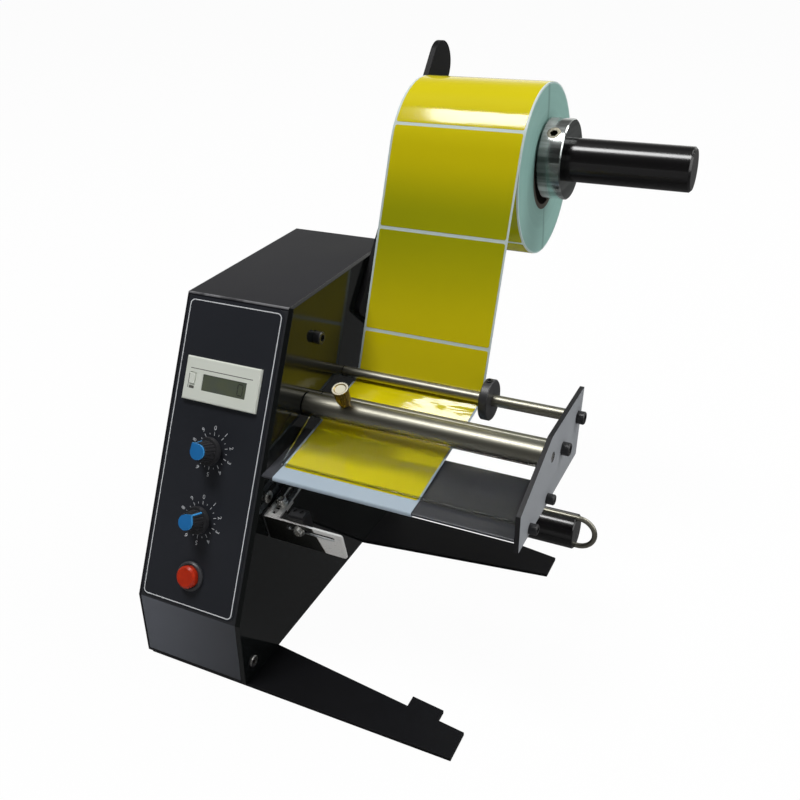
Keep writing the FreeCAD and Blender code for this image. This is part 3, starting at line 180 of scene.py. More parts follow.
mixed = floor_seen.node("MixShader", {}, {0: (floor_seen + floor_mirrored).math("MINIMUM", glow_share),
                                          1: Socket(floor_shader.outputs[0]), 2: glow})
floor_tree.links.new(mixed.out, floor_tree.nodes["Material Output"].inputs["Surface"])
floor_mesh.materials.append(floor_white)

world = bpy.data.worlds.new("surround")
bpy.context.scene.world = world
world.use_nodes = True
world_shader = world.node_tree.nodes["Background"]
room_seen = ray_kinds(world.node_tree, "Camera")
room_mirrored = ray_kinds(world.node_tree, "Glossy", "Transmission")
fill_strength = 0.05
heading = Socket(world.node_tree.nodes.new("ShaderNodeTexCoord").outputs["Generated"])
# Turn from the horizon behind the machine (0) over the top (0.5) to the horizon in front (1).
turn = heading.part(2).math("ARCTAN2", heading.part(1)) / math.pi
room_levels = [(0.0, 0.9), (0.08, 0.9), (0.13, 0.35), (0.20, 0.12), (0.33, 0.14), (0.40, 0.34),
               (0.46, 0.28), (0.50, 0.14), (0.56, 0.18), (0.62, 0.5), (0.67, 0.10), (0.82, 0.05),
               (1.0, 0.10)]
room_stops = [(share, (level, level, level * 0.98, 1)) for share, level in room_levels]
room = room_seen.blend(turn.node("ValToRGB", {"stops": room_stops}, {"Fac": turn}), (1, 1, 1))
strength = fill_strength + (room_seen + room_mirrored).math("MINIMUM", 1.0) * (1.0 - fill_strength)
world.node_tree.links.new(strength.out, world_shader.inputs["Strength"])
world.node_tree.links.new(room.out, world_shader.inputs["Color"])
machine_middle = Vector((40, 150, 180))


def soft_lamp(name, toward, away, size, power):
    """Soft box away from the machine's middle on a heading; its width lies along X."""
    lamp = bpy.data.objects.new(name, bpy.data.lights.new(name, "AREA"))
    bpy.context.scene.collection.objects.link(lamp)
    lamp.data.shape = "RECTANGLE"
    lamp.data.size, lamp.data.size_y = size
    lamp.data.energy = power
    outward = Vector(toward).normalized()
    upward = outward.cross(Vector((1, 0, 0)) if abs(outward.x) < 0.9 else Vector((0, 1, 0))).normalized()
    axes = Matrix((upward.cross(outward), upward, outward)).transposed().to_4x4()
    lamp.matrix_world = Matrix.Translation(bench(*(machine_middle + outward * away))) @ axes


soft_lamp("over_lamp", (-0.215, -0.178, 0.96), 2600, (1.0, 0.75), 46)
soft_lamp("back_lamp", (0.50, 0.45, 0.74), 1800, (0.9, 0.9), 16)
soft_lamp("right_lamp", (0.95, 0.10, 0.30), 1500, (0.9, 0.9), 6)
soft_lamp("front_lamp", (0.35, -0.85, 0.38), 1800, (0.8, 0.8), 1.2)


# ---- housing -------------------------------------------------------------------------------
# Folded steel sheet under a black powder coat: cover, front panel and base, screwed together. The
# side plate is lacquered to a mirror, and cap screws and rivet nuts fix the other parts to it.
def finish(name, colour, rough, **plain):
    """New material with plain values on the shader's sockets; returns it with its surface point."""
    made = bpy.data.materials.new(name)
    made.use_nodes = True
    sockets = made.node_tree.nodes["Principled BSDF"].inputs
    sockets["Base Color"].default_value = (*colour, 1)
    sockets["Roughness"].default_value = rough
    for key, value in plain.items():
        sockets[key.replace("_", " ")].default_value = value
    coords = made.node_tree.nodes.new("ShaderNodeTexCoord")
    return made, Socket(coords.outputs["Object"])


def feed(material, **links):
    """Links each value to the shader's socket of that name."""
    tree = material.node_tree
    for key, value in links.items():
        tree.links.new(value.out, tree.nodes["Principled BSDF"].inputs[key.replace("_", " ")])


def noise(place, scale, detail=2.0, stretch=(1, 1, 1)):
    """Cloudy value, scale lumps to the metre, drawn out along the axes of stretch."""
    moved = place.node("Mapping", {}, {"Vector": place, "Scale": stretch})
    return place.node("TexNoise", {}, {"Vector": moved, "Scale": scale, "Detail": detail})


def bench_band(value, axis, low, high):
    """Band of a place's X, Y or Z (axis 0, 1 or 2) from low to high, in bench millimetres."""
    return value.band(bench_zero[axis] + low * mm, bench_zero[axis] + high * mm)


def facing(place, axis):
    """Part of the surface's heading along an axis of its piece."""
    return Socket(place.out.node.outputs["Normal"]).part(axis)


def relief(height, deep, strength=1.0, edge=None):
    """Normal of a height map, deep in metres, over the surface or over its softened edges."""
    inputs = {"Height": height, "Distance": deep, "Strength": strength}
    if edge:
        inputs["Normal"] = height.node("Bevel", {"samples": 4}, {"Radius": edge})
    return height.node("Bump", {}, inputs)


def dress(material, *names):
    """Puts a material on CAD nodes."""
    for name in names:
        slots = nodes[name].data.materials
        slots.clear()
        slots.append(material)


powder, at = finish("black_powder", (0.018, 0.018, 0.021), 0.42, Specular_IOR_Level=0.19)
grain = noise(at, 1800, 3.0)
cloud = noise(at, 22, 2.0)
# Painted highlight along the top edge, where the leaning front panel runs up from its lip, in patches.
lip_y, lip_z = 1.8, 42.4
panel_lean = math.atan2(81.7, 152.8)
edge_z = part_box("cover")[1].z
edge_y = bench(0, lip_y, 0).y + (edge_z - bench(0, 0, lip_z).z) * math.tan(panel_lean)
from_edge = at.node("Mapping", {}, {"Vector": at, "Location": (0, -edge_y, -edge_z), "Scale": (0, 1, 1)})
edge_reach = from_edge.node("VectorMath", {"operation": "LENGTH"}, {"Vector": from_edge}, 1)
painted_edge_highlight = (1.0 - edge_reach.band(0.0004, 0.0011)) * (noise(at, 110, 2.0).band(0.35, 0.65) * 0.7 + 0.3)
coat = cloud.blend((0.0075, 0.0075, 0.0098), (0.0130, 0.0130, 0.0170))
feed(powder, Base_Color=painted_edge_highlight.blend(coat, (0.22, 0.22, 0.23)),
     Roughness=cloud * 0.1 + 0.36, Normal=relief(grain, 0.00005, 0.5, 0.0006))
dress(powder, "cover", "base_plate")

front_coat, at = finish("front_coat", (0.02, 0.022, 0.027), 0.4, Specular_IOR_Level=0.35)
right_share = bench_band(at.part(0), 0, -75, 10)
# Painted sheen: the upright lip is painted lighter, most at its left, for the sheen it catches.
painted_lip_sheen = (facing(at, 1) * -1.0).band(0.92, 0.99) * (1.0 - right_share * 0.75) + noise(at, 30) * 0.1
feed(front_coat, Base_Color=painted_lip_sheen.blend((0.020, 0.021, 0.024), (0.13, 0.14, 0.165)),
     Normal=relief(noise(at, 1800, 3.0), 0.00004, 0.5, 0.0006))
dress(front_coat, "front_panel")

lacquer, at = finish("side_lacquer", (0.005, 0.006, 0.006), 0.05, Specular_IOR_Level=0.4)
wave = noise(at, 9, 1.0)
haze = noise(at, 60, 4.0)
upper_haze = bench_band(at.part(2), 2, 130, 170)
feed(lacquer, Roughness=haze * 0.05 + 0.03 + upper_haze * 0.07, Normal=relief(wave, 0.0008, 0.15, 0.0004))
dress(lacquer, "side_plate")

black_oxide, at = finish("black_oxide", (0.012, 0.012, 0.013), 0.35)
grain = noise(at, 3000, 2.0)
feed(black_oxide, Base_Color=grain.blend((0.008, 0.008, 0.009), (0.022, 0.022, 0.024)),
     Normal=relief(grain, 0.00003, 0.4, 0.0002))
dress(black_oxide, "inner_screws", "outer_screws", "arm_screws", "cover_screws", "leg_screws",
      "guide_collar_screw")

zinc, at = finish("bright_zinc", (0.62, 0.61, 0.58), 0.28, Metallic=1.0)
grain = noise(at, 1500, 2.0)
feed(zinc, Roughness=grain * 0.2 + 0.18, Normal=relief(grain, 0.00002, 0.4, 0.0002))
dress(zinc, "rivet_nuts", "bracket_screw", "sensor_screw", "length_pot", "speed_pot",
      "board_standoffs", "length_shaft", "speed_shaft", "drive_shaft", "press_shaft")

# ---- control panel -------------------------------------------------------------------------
# A matt black film with a silver frame line and two printed dials. The counter is an off-white
# module with a grey window; the knobs are fluted black grips with blue caps.
def piece(name, places, faces, material, body, sharp=35.0):
    """New closed piece from bench places and faces; doubles are merged and faces turned outwards."""
    mesh = bpy.data.meshes.new(name)
    mesh.from_pydata((np.array(bench_zero) + np.reshape(places, (-1, 3)) * mm).tolist(), [], faces)
    solid = bmesh.new()
    solid.from_mesh(mesh)
    bmesh.ops.remove_doubles(solid, verts=solid.verts, dist=1e-7)
    bmesh.ops.dissolve_degenerate(solid, edges=solid.edges, dist=1e-8)
    bmesh.ops.recalc_face_normals(solid, faces=solid.faces)
    solid.to_mesh(mesh)
    solid.free()
    mesh.shade_smooth()
    mesh.set_sharp_from_angle(angle=math.radians(sharp))
    mesh.materials.append(material)
    made = bpy.data.objects.new(name, mesh)
    bpy.context.scene.collection.objects.link(made)
    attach(made, body)
    return made


def skin(rows, closed=False):
    """Faces of a grid of rows x columns, closed round its columns; its rows close too or are capped."""
    ids = np.arange(rows.shape[0] * rows.shape[1]).reshape(rows.shape[:2])
    here = ids if closed else ids[:-1]
    far = np.roll(ids, -1, 0) if closed else ids[1:]
    faces = np.stack((here, np.roll(here, -1, 1), np.roll(far, -1, 1), far), -1).reshape(-1, 4).tolist()
    return faces if closed else faces + [ids[0].tolist(), ids[-1].tolist()]


panel_mid = -35.7
film_top = 0.4
ink_t = 0.03


def on_panel(across, up, off):
    """Bench places from sizes on the panel: across from its middle, up from the lip, off the sheet.

    y = lip_y + up sin(lean) - off cos(lean), z = lip_z + up cos(lean) + off sin(lean)."""
    across, up, off = np.broadcast_arrays(across, up, off)
    sine, cosine = math.sin(panel_lean), math.cos(panel_lean)
    return np.stack((panel_mid + across, lip_y + up * sine - off * cosine,
                     lip_z + up * cosine + off * sine), -1)


def bars(name, ends, width, foot, material):
    """Printed straight lines in one piece: each joins two (across, up) ends, width wide.

    A line's corners lie half the width to either side of its ends, at right angles to it."""
    ends = np.asarray(ends, float)
    along = ends[:, 1] - ends[:, 0]
    side = np.stack((-along[:, 1], along[:, 0]), -1)
    side *= width / 2 / np.linalg.norm(side, axis=1, keepdims=True)
    flat = np.stack((ends[:, 0] - side, ends[:, 1] - side, ends[:, 1] + side, ends[:, 0] + side), 1)
    places = on_panel(flat[:, None, :, 0], flat[:, None, :, 1], np.array((foot, foot + ink_t))[:, None])
    box_faces = np.array(((0, 1, 2, 3), (4, 5, 6, 7), (0, 1, 5, 4),
                          (1, 2, 6, 5), (2, 3, 7, 6), (3, 0, 4, 7)))
    faces = (np.arange(len(ends))[:, None, None] * 8 + box_faces).reshape(-1, 4).tolist()
    return piece(name, places, faces, material, "machine")


def panel_face(place):
    """How far a surface faces straight out of the panel, 0 to 1."""
    return facing(place, 2) * math.sin(panel_lean) - facing(place, 1) * math.cos(panel_lean)


film, at = finish("panel_film", (0.012, 0.013, 0.017), 0.42, Specular_IOR_Level=0.35)
grain = noise(at, 5000, 2.0)
cloud = noise(at, 14, 1.0)
feed(film, Base_Color=cloud.blend((0.013, 0.015, 0.020), (0.024, 0.026, 0.033)),
     Normal=relief(grain, 0.00002, 0.4))
dress(film, "panel_overlay")

silver_ink, at = finish("silver_ink", (0.80, 0.82, 0.85), 0.4)
feed(silver_ink, Base_Color=noise(at, 900, 2.0).blend((0.70, 0.72, 0.75), (0.88, 0.90, 0.92)))
white_ink, at = finish("white_ink", (0.6, 0.62, 0.66), 0.5)
feed(white_ink, Base_Color=noise(at, 1500, 2.0).blend((0.45, 0.47, 0.50), (0.78, 0.80, 0.83)))

# Frame line: a flat band along a rounded rectangle. Each corner is a quarter turn about its own
# middle, and the straight sides run from one corner to the next.
frame_half_w, frame_low, frame_high, frame_corner, frame_line = 29.45, 2.6, 169.5, 2.6, 0.55
corner_steps = 9
quarter = np.linspace(0, np.pi / 2, corner_steps)
corner_turn = np.concatenate([quarter + k * np.pi / 2 for k in range(4)])
corner_x = np.repeat((1, -1, -1, 1), corner_steps) * (frame_half_w - frame_corner)
corner_up = np.repeat((frame_high - frame_corner, frame_low + frame_corner), 2 * corner_steps)
band_section = np.array(((-1, 0), (1, 0), (1, 1), (-1, 1)))
corner_r = frame_corner + band_section[:, 0] * frame_line / 2
frame_rows = on_panel(corner_x[:, None] + np.cos(corner_turn)[:, None] * corner_r,
                      corner_up[:, None] + np.sin(corner_turn)[:, None] * corner_r,
                      film_top + band_section[:, 1] * ink_t)
piece("panel_frame_line", frame_rows, skin(frame_rows, True), silver_ink, "machine")

# Dials: a long tick at each digit and a short one between, and the digits turned with them.
dial_places = (89.5, 51.0)
spoke = np.radians(90.0 - 18.0 * np.arange(20))
spoke_dir = np.stack((np.cos(spoke), np.sin(spoke)), -1)
is_long = np.arange(20) % 2 == 0
inner = np.where(is_long, 8.6, 9.1)[:, None]
outer = np.where(is_long, 10.5, 10.0)[:, None]
dial_spokes = np.stack((spoke_dir * inner, spoke_dir * outer), 1)
ticks = np.concatenate([dial_spokes + (0, dial_up) for dial_up in dial_places])
bars("dial_ticks", ticks, 0.32, film_top, white_ink)

# Each digit is a letter shape, thin as the ink, set on a ring round the dial and turned with it.
digit_high, digit_ring, high_to_size = 2.5, 12.9, 1.38
digit_places, digit_faces, placed = [], [], 0
for digit in range(10):
    letter = bpy.data.curves.new("digit", "FONT")
    letter.body, letter.size, letter.extrude = str(digit), digit_high * high_to_size, ink_t / 2
    letter.align_x, letter.align_y = "CENTER", "CENTER"
    letter.resolution_u = 3
    holder = bpy.data.objects.new("digit", letter)
    flat = bpy.data.meshes.new_from_object(holder)
    points = np.empty(len(flat.vertices) * 3)
    flat.vertices.foreach_get("co", points)
    points = points.reshape(-1, 3)
    points[:, :2] -= (points[:, :2].max(0) + points[:, :2].min(0)) / 2
    corners = np.empty(len(flat.loops), np.int32)
    flat.loops.foreach_get("vertex_index", corners)
    face_starts = np.empty(len(flat.polygons), np.int32)
    flat.polygons.foreach_get("loop_start", face_starts)
    turned = math.radians(-36.0 * digit)
    across = points[:, 0] * math.cos(turned) - (points[:, 1] + digit_ring) * math.sin(turned)
    up = points[:, 0] * math.sin(turned) + (points[:, 1] + digit_ring) * math.cos(turned)
    for dial_up in dial_places:
        digit_places.append(on_panel(across, up + dial_up, film_top + ink_t / 2 + points[:, 2]))
        digit_faces += [ids.tolist() for ids in np.split(corners + placed, face_starts[1:])]
        placed += len(points)
    bpy.data.objects.remove(holder)
piece("dial_digits", np.concatenate(digit_places), digit_faces, white_ink, "machine")

case, at = finish("counter_case", (0.60, 0.62, 0.56), 0.45, Specular_IOR_Level=0.3)
grain = noise(at, 2500, 2.0)
feed(case, Base_Color=noise(at, 60).blend((0.78, 0.82, 0.73), (0.86, 0.89, 0.81)),
     Normal=relief(grain, 0.00003, 0.4, 0.0003))
dress(case, "counter_case", "counter_key")

lcd, at = finish("counter_window", (0.05, 0.06, 0.04), 0.12)
feed(lcd, Base_Color=noise(at, 90, 1.0).blend((0.085, 0.10, 0.105), (0.12, 0.135, 0.075)))
dress(lcd, "counter_window")

# The counter's print, from its middle: a line above the window. Dark bars beside it are painted
# shade in the pocket that the key slides in: where it is open below the key, and along its side.
counter_top, counter_mid = 2.9, 126.7
counter_print_and_shade = (("counter_line", ((-20.5, 5.6), (20.0, 5.6)), 0.4),
                 ("painted_pocket_shade", ((-20.0, -4.8), (-16.8, -4.8)), 1.5),
                 ("painted_pocket_shade_side", ((-20.75, -5.5), (-20.75, 2.5)), 0.35))
dark_ink_and_shade, at = finish("dark_ink_and_shade", (0.10, 0.10, 0.085), 0.5)
feed(dark_ink_and_shade, Base_Color=noise(at, 1500, 2.0).blend((0.08, 0.08, 0.07), (0.14, 0.14, 0.12)))
for name, ends, width in counter_print_and_shade:
    bars(name, [np.add(ends, (0, counter_mid))], width, counter_top, dark_ink_and_shade)

# The reading is a seven-segment nought at the right of the window, without its middle bar.
segment_ink, at = finish("segment_ink", (0.012, 0.014, 0.012), 0.4)
feed(segment_ink, Base_Color=noise(at, 1500, 2.0).blend((0.010, 0.012, 0.010), (0.016, 0.018, 0.015)))
nought_left, nought_right, segment_gap, window_sunk = 11.2, 14.4, 0.2, 0.4
low, mid, high = counter_mid - 4.2, counter_mid - 1.2, counter_mid + 1.8
segments = [((nought_left + segment_gap, up), (nought_right - segment_gap, up)) for up in (low, high)]
segments += [((side, start), (side, end)) for side in (nought_left, nought_right)
             for start, end in ((low + 2 * segment_gap, mid - segment_gap),
                                (mid + segment_gap, high - 2 * segment_gap))]
bars("counter_reading", segments, 0.5, counter_top - window_sunk, segment_ink)

grip, at = finish("knob_grip", (0.02, 0.02, 0.022), 0.3)
grain = noise(at, 2500, 2.0)
feed(grip, Base_Color=grain.blend((0.015, 0.015, 0.017), (0.035, 0.035, 0.038)),
     Normal=relief(grain, 0.00003, 0.4, 0.0002))
dress(grip, "length_knob", "speed_knob")

cap, at = finish("cap_blue", (0.03, 0.20, 0.55), 0.3)
# Painted light and shade: the cap's face is painted darker and its rim lighter, by how they face the
# light.
painted_cap_shade = panel_face(at).band(0.80, 0.97) * 0.85 + noise(at, 200, 1.0) * 0.15
feed(cap, Base_Color=painted_cap_shade.blend((0.06, 0.36, 0.80), (0.012, 0.16, 0.45)),
     Normal=relief(noise(at, 2500), 0.00002, 0.3, 0.0003))
dress(cap, "length_cap", "speed_cap")

ring, at = finish("switch_ring", (0.05, 0.05, 0.055), 0.35)
feed(ring, Normal=relief(noise(at, 2000), 0.00002, 0.3, 0.0003))
dress(ring, "switch_body")

lamp_red, at = finish("lamp_red", (0.45, 0.03, 0.008), 0.3, Specular_IOR_Level=0.3)
feed(lamp_red, Base_Color=noise(at, 300, 1.0).blend((0.40, 0.018, 0.004), (0.62, 0.04, 0.010)),
     Normal=relief(noise(at, 1500), 0.00004, 0.3, 0.0004))
dress(lamp_red, "power_button")

# ---- legs ----------------------------------------------------------------------------------
# Two flat steel bars, cut from sheet and painted satin black. They are screwed under the housing
# and reach to the right, under the roll.
leg_paint, at = finish("leg_paint", (0.005, 0.005, 0.006), 0.42, Specular_IOR_Level=0.12)
grain = noise(at, 1800, 3.0)
feed(leg_paint, Base_Color=noise(at, 25).blend((0.004, 0.004, 0.005), (0.008, 0.008, 0.009)),
     Normal=relief(grain, 0.00004, 0.5, 0.0005))
dress(leg_paint, "front_leg", "rear_leg")

# ---- roll arm, spindles and collar ---------------------------------------------------------
# A flat arm with a round end, in the legs' black, is screwed to the side plate and carries a
# blacked steel spindle. A chromed collar with a set screw keeps the roll on it. The rewind spindle
# is blacked too.
dress(leg_paint, "roll_arm")

spindle_coat, at = finish("spindle_coat", (0.006, 0.0055, 0.006), 0.25)
lathe_lines = noise(at, 300, 2.0, (8, 0.4, 0.4))
feed(spindle_coat, Roughness=lathe_lines * 0.08 + 0.15, Normal=relief(lathe_lines, 0.000005, 0.2, 0.0003))
dress(spindle_coat, "supply_spindle", "rewind_spindle")


def round_of(node):
    """Centre (y, z) and radius of a round node that lies along X, in bench millimetres."""
    low, high = [np.array(corner - bench_zero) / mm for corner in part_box(node)]
    return (low[1] + high[1]) / 2, (low[2] + high[2]) / 2, (high[1] - low[1]) / 2


# The collar's colour is painted with reflections: light streaks along X, and dark round its middle
# height and on its end face. Its free side is pure chrome, and the side by the roll is dull and less
# metallic, so its painted bands show more.
chrome, at = finish("chrome", (0.5, 0.52, 0.52), 0.06, Metallic=1.0)
collar_z = round_of("roll_collar")[1]
painted_light_off_middle = (at.part(2) - collar_z * mm).math("ABSOLUTE").band(0.003, 0.016)
free_side = bench_band(at.part(0), 0, 92, 96)
end_face = facing(at, 0).band(0.8, 0.97)
painted_reflection_streaks = noise(at, 320, 2.0, (0.05, 0.05, 1)).band(0.35, 0.65)
shine = painted_light_off_middle * (painted_reflection_streaks * 0.5 + 0.5) * (1.0 - end_face * 0.85) + painted_reflection_streaks * 0.12
feed(chrome, Base_Color=free_side.blend(shine.blend((0.045, 0.048, 0.044), (0.56, 0.55, 0.54)),
                                        shine.blend((0.13, 0.15, 0.14), (0.80, 0.84, 0.83))),
     Metallic=free_side * 0.7 + 0.3, Roughness=noise(at, 200, 3.0) * 0.08 + 0.10)
dress(chrome, "roll_collar")

brassy, at = finish("set_screw_brass", (0.20, 0.18, 0.12), 0.35, Metallic=1.0)
feed(brassy, Base_Color=noise(at, 900).blend((0.07, 0.066, 0.05), (0.16, 0.15, 0.12)),
     Normal=relief(noise(at, 2500), 0.00002, 0.4, 0.0001))
dress(brassy, "roll_collar_screw")

# ---- label roll and web --------------------------------------------------------------------
# Yellow gloss labels on a pale blue liner, wound on a card core. The sides of the roll show the
# edges of the turns as fine rings; the web runs from its outer turn over the rods to the peel edge.
liner_t = 0.3
web_gap = 0.3
label_t = 0.12
sunk_in_liner = 0.02
label_len, label_pitch = 58.0, 60.0
label_left, label_right = 8.3, 85.9
label_corner = 1.2
web_mid = web_gap + liner_t / 2


roll_y, roll_z, roll_r = round_of("label_roll")
guide_y, guide_z, guide_r = round_of("guide_rod")
web_rod_y, web_rod_z, web_rod_r = round_of("web_rod")
wound_y, wound_z, wound_r = round_of("wound_liner")
peel_nose = (38.8, 117.9, 0.8)
flap_edge = (48.8, 120.78, 0.5)
# The web's middle turns round six centres in all, left (+) or right (-) of its way.
turns = [(roll_y, roll_z, roll_r + web_mid), (guide_y, guide_z, -guide_r - web_mid),
         (web_rod_y, web_rod_z, -web_rod_r - web_mid),
         (flap_edge[0], flap_edge[1], -flap_edge[2] - web_mid),
         (peel_nose[0], peel_nose[1], peel_nose[2] + web_mid),
         (wound_y, wound_z, -wound_r - web_mid)]


def run_heading(near, far):
    """Heading of the line that leaves one turn and meets the next, both radii signed.

    A radius is positive when the centre lies left of the line. The heading is that of the line of
    centres less asin((r2 - r1) / distance)."""
    dy, dz = far[0] - near[0], far[1] - near[1]
    return math.atan2(dz, dy) - math.asin((far[2] - near[2]) / math.hypot(dy, dz))


headings = [run_heading(near, far) for near, far in zip(turns[:-1], turns[1:])]
arc_steps = 25
arc_share = np.linspace(0, 1, arc_steps)
arcs = [a + (b - a) * arc_share for a, b in zip(headings[:-1], headings[1:])]
path_heading = np.concatenate([[headings[0]], *arcs, [headings[-1]]])
turn_of = np.concatenate(([0], np.repeat(np.arange(1, 5), arc_steps), [5]))
turn_y, turn_z, turn_r = np.array(turns).T[:, turn_of]
path_y = turn_y + turn_r * np.sin(path_heading)
path_z = turn_z - turn_r * np.cos(path_heading)
steps = np.hypot(np.diff(path_y), np.diff(path_z))
path_s = np.concatenate(([0.0], np.cumsum(steps)))
turn_loss = liner_t / (2 * np.pi)


def on_web(along, off):
    """Places (y, z) at a length along the middle of the web, off it to its outer side.

    Past the roll the middle is the path of runs and arcs. Before it, along is negative and the
    place is on the spiral c + r (sin a, -cos a), whose radius shrinks by a liner each turn."""
    a = np.where(along < 0, headings[0] + along / turns[0][2], np.interp(along, path_s, path_heading))
    r = turns[0][2] + liner_t / 2 - turn_loss * (headings[0] - a)
    y = np.where(along < 0, roll_y + (r - liner_t / 2) * np.sin(a), np.interp(along, path_s, path_y))
    z = np.where(along < 0, roll_z - (r - liner_t / 2) * np.cos(a), np.interp(along, path_s, path_z))
    return y + off * np.sin(a), z - off * np.cos(a)


def label_sheet(name, start, end, body, cut_start=False, cut_end=False):
    """Thin sheet on the outer side of the web, from start to end along it.

    Near an uncut end its width shrinks by r - sqrt(r^2 - (r - d)^2), d from the end, which rounds
    its corners."""
    curve = label_corner * (1 - np.cos(np.linspace(0, np.pi / 2, 6)))
    along = np.unique(np.concatenate((start + curve, np.arange(start + 2, end - 2, 1.0), end - curve)))
    near_start = label_corner if cut_start else along - start
    near_end = label_corner if cut_end else end - along
    near = np.minimum(np.minimum(near_start, near_end), label_corner)
    inset = label_corner - np.sqrt(np.maximum(label_corner ** 2 - (label_corner - near) ** 2, 0))
    y0, z0 = on_web(along, liner_t / 2 - sunk_in_liner)
    y1, z1 = on_web(along, liner_t / 2 + label_t)
    x0, x1 = label_left + inset, label_right - inset
    corners = ((x0, y0, z0), (x0, y1, z1), (x1, y1, z1), (x1, y0, z0))
    rows = np.stack([np.stack(corner, -1) for corner in corners], 1)
    return piece(name, rows, skin(rows), label_gloss, body)


label_gloss, at = finish("label_gloss", (0.72, 0.62, 0.004), 0.1, Specular_IOR_Level=0.45)
at_x, at_y, at_z = at.part(0), at.part(1), at.part(2)
waviness = noise(at, 60, 2.0, (0.35, 1, 1)) + noise(at, 400, 3.0) * 0.10
# Between the rods the low run hangs slack, and ripples more toward its right side.
slack_y, slack_length = 113.0, 16.0
past_slack_y = (at_y - bench(0, slack_y, 0).y) / (slack_length * mm)
low_run = 1.0 - bench_band(at_z, 2, 134, 137)
slack = past_slack_y.math("MAXIMUM", 0.0).math("MINIMUM", 1.0) * low_run
ripples = (noise(at, 70, 2.0, (0.35, 1.6, 1)) * 26.0 + 21.0) * bench_band(at_x, 0, 8, 46)
# Painted shade: the yellow is painted darkest at one height of the upright run, and lighter above and
# below it.
painted_shade_z = 222.0
over_painted_shade = at_z - painted_shade_z * mm
above_and_below = over_painted_shade.band(0.0, 0.035) + (over_painted_shade * -1.0).band(0.0, 0.065)
painted_height_light = above_and_below * 0.85 + noise(at, 14, 1.0) * 0.15
# Painted shadow of the tube: below the flap the stretch next to the tube is painted darker, easing to a
# lighter patch at its far end.
wavy_y = at_y + noise(at, 30, 1.0) * 0.008
painted_shadow_gap = bench_band(wavy_y, 1, 75, 78) * bench_band(at_x, 0, 50, 70)
painted_tube_shadow = bench_band(wavy_y, 1, 63, 73.5) * (1.0 - bench_band(at_y, 1, 80, 84)) * (1.0 - painted_shadow_gap * 0.8)
sheet_colour = painted_height_light.blend((0.37, 0.385, 0.003), (0.76, 0.64, 0.004))
feed(label_gloss, Base_Color=painted_tube_shadow.blend(sheet_colour, (0.31, 0.265, 0.003)),
     Roughness=noise(at, 300, 3.0) * 0.05 + 0.07,
     Normal=relief(slack * ripples + waviness, 0.0004, 0.6))

# The foremost label ends short of the peel edge, and the labels follow it back to the outer turn.
front_label_y, front_label_short, behind_shift = 46.4, (1.0, 1.2), 2.2
over_plate = (path_z > 110) & (path_s > 170)
front_end = float(np.interp(-front_label_y, -path_y[over_plate], path_s[over_plate]))
label_sheet("label_at_peel", front_end - label_len + front_label_short[0],
            front_end - front_label_short[1], "machine")
last_number = 8
for number in range(1, last_number + 1):
    end = front_end + behind_shift - label_pitch * number
    start = end - label_len
    if start > 0:
        label_sheet(f"label_on_web_{number}", start, end, "machine")
    elif end > 0:
        label_sheet(f"label_on_web_{number}", 0.0, end, "machine", cut_start=True)
        label_sheet(f"label_on_roll_{number}", start, 0.0, "roll", cut_end=True)
    else:
        start = max(start, 0.4 - 2 * math.pi * roll_r)
        label_sheet(f"label_on_roll_{number}", start, end, "roll", cut_start=number == last_number)

# The roll is a spiral wall: r(turn) = outer radius less a liner each turn, between its two sides.
liner, at = finish("liner", (0.42, 0.51, 0.55), 0.35, Specular_IOR_Level=0.3)
# Painted light and shade by height: the liner is paler up high, and darker and bluer low down.
painted_liner_light = bench_band(at.part(2), 2, 125, 160) * 0.9 + noise(at, 25, 2.0) * 0.1
feed(liner, Base_Color=painted_liner_light.blend((0.38, 0.46, 0.54), (0.66, 0.76, 0.74)),
     Normal=relief(noise(at, 80, 2.0), 0.0002, 0.2))
dress(liner, "label_web", "wound_liner")

web_left, web_right = 7.0, 87.0
core_r = 23.0
around = np.linspace(0, 1, 241)
wound_turn = headings[0] - 2 * np.pi * around
outer_r = roll_r + web_gap + liner_t - liner_t * around
side_share = np.linspace(0, 1, 9)
profile_r = core_r + (outer_r[:, None] - core_r) * np.concatenate((side_share, side_share[::-1]))
profile_x = np.repeat((web_left, web_right), len(side_share))
roll_rows = np.stack((np.broadcast_to(profile_x, profile_r.shape),
                      roll_y + profile_r * np.sin(wound_turn)[:, None],
                      roll_z - profile_r * np.cos(wound_turn)[:, None]), -1)
roll = piece("wound_roll", roll_rows, skin(roll_rows, True), liner, "roll")
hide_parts("label_roll")

# Its two sides show the edges of the turns: fine rings and broad rings, and a dark streak across them
# that is a painted reflection.
turn_edges, at = finish("turn_edges", (0.2, 0.36, 0.31), 0.55)
roll.data.materials.append(turn_edges)
normals = np.empty(len(roll.data.polygons) * 3)
roll.data.polygons.foreach_get("normal", normals)
on_side = np.abs(normals.reshape(-1, 3)[:, 0]) > 0.9
roll.data.polygons.foreach_set("material_index", on_side.astype(int))
hub = bench(0, roll_y, roll_z)
spread = at.node("Mapping", {}, {"Vector": at, "Location": (0, -hub.y, -hub.z), "Scale": (0, 1, 1)})
radius = spread.node("VectorMath", {"operation": "LENGTH"}, {"Vector": spread}, 1)
ring_place = radius.node("CombineXYZ", {}, {"X": radius})
fine_rings = noise(ring_place, 2600, 2.0)
wide_rings = noise(ring_place, 320, 2.0)
off_upright = spread.part(1) / radius
painted_dark_streak = 1 - (off_upright + noise(ring_place, 60, 1.0) * 0.10 - 0.05).math("ABSOLUTE").band(0.0, 0.07)
shade = (fine_rings * 0.35 + wide_rings * 0.5 + 0.12).math("MINIMUM", 1.0)
rim = radius.band(roll_r * mm - 0.0008, roll_r * mm)
paper = rim.blend(shade.blend((0.165, 0.31, 0.275), (0.29, 0.50, 0.45)), (0.5, 0.62, 0.6))
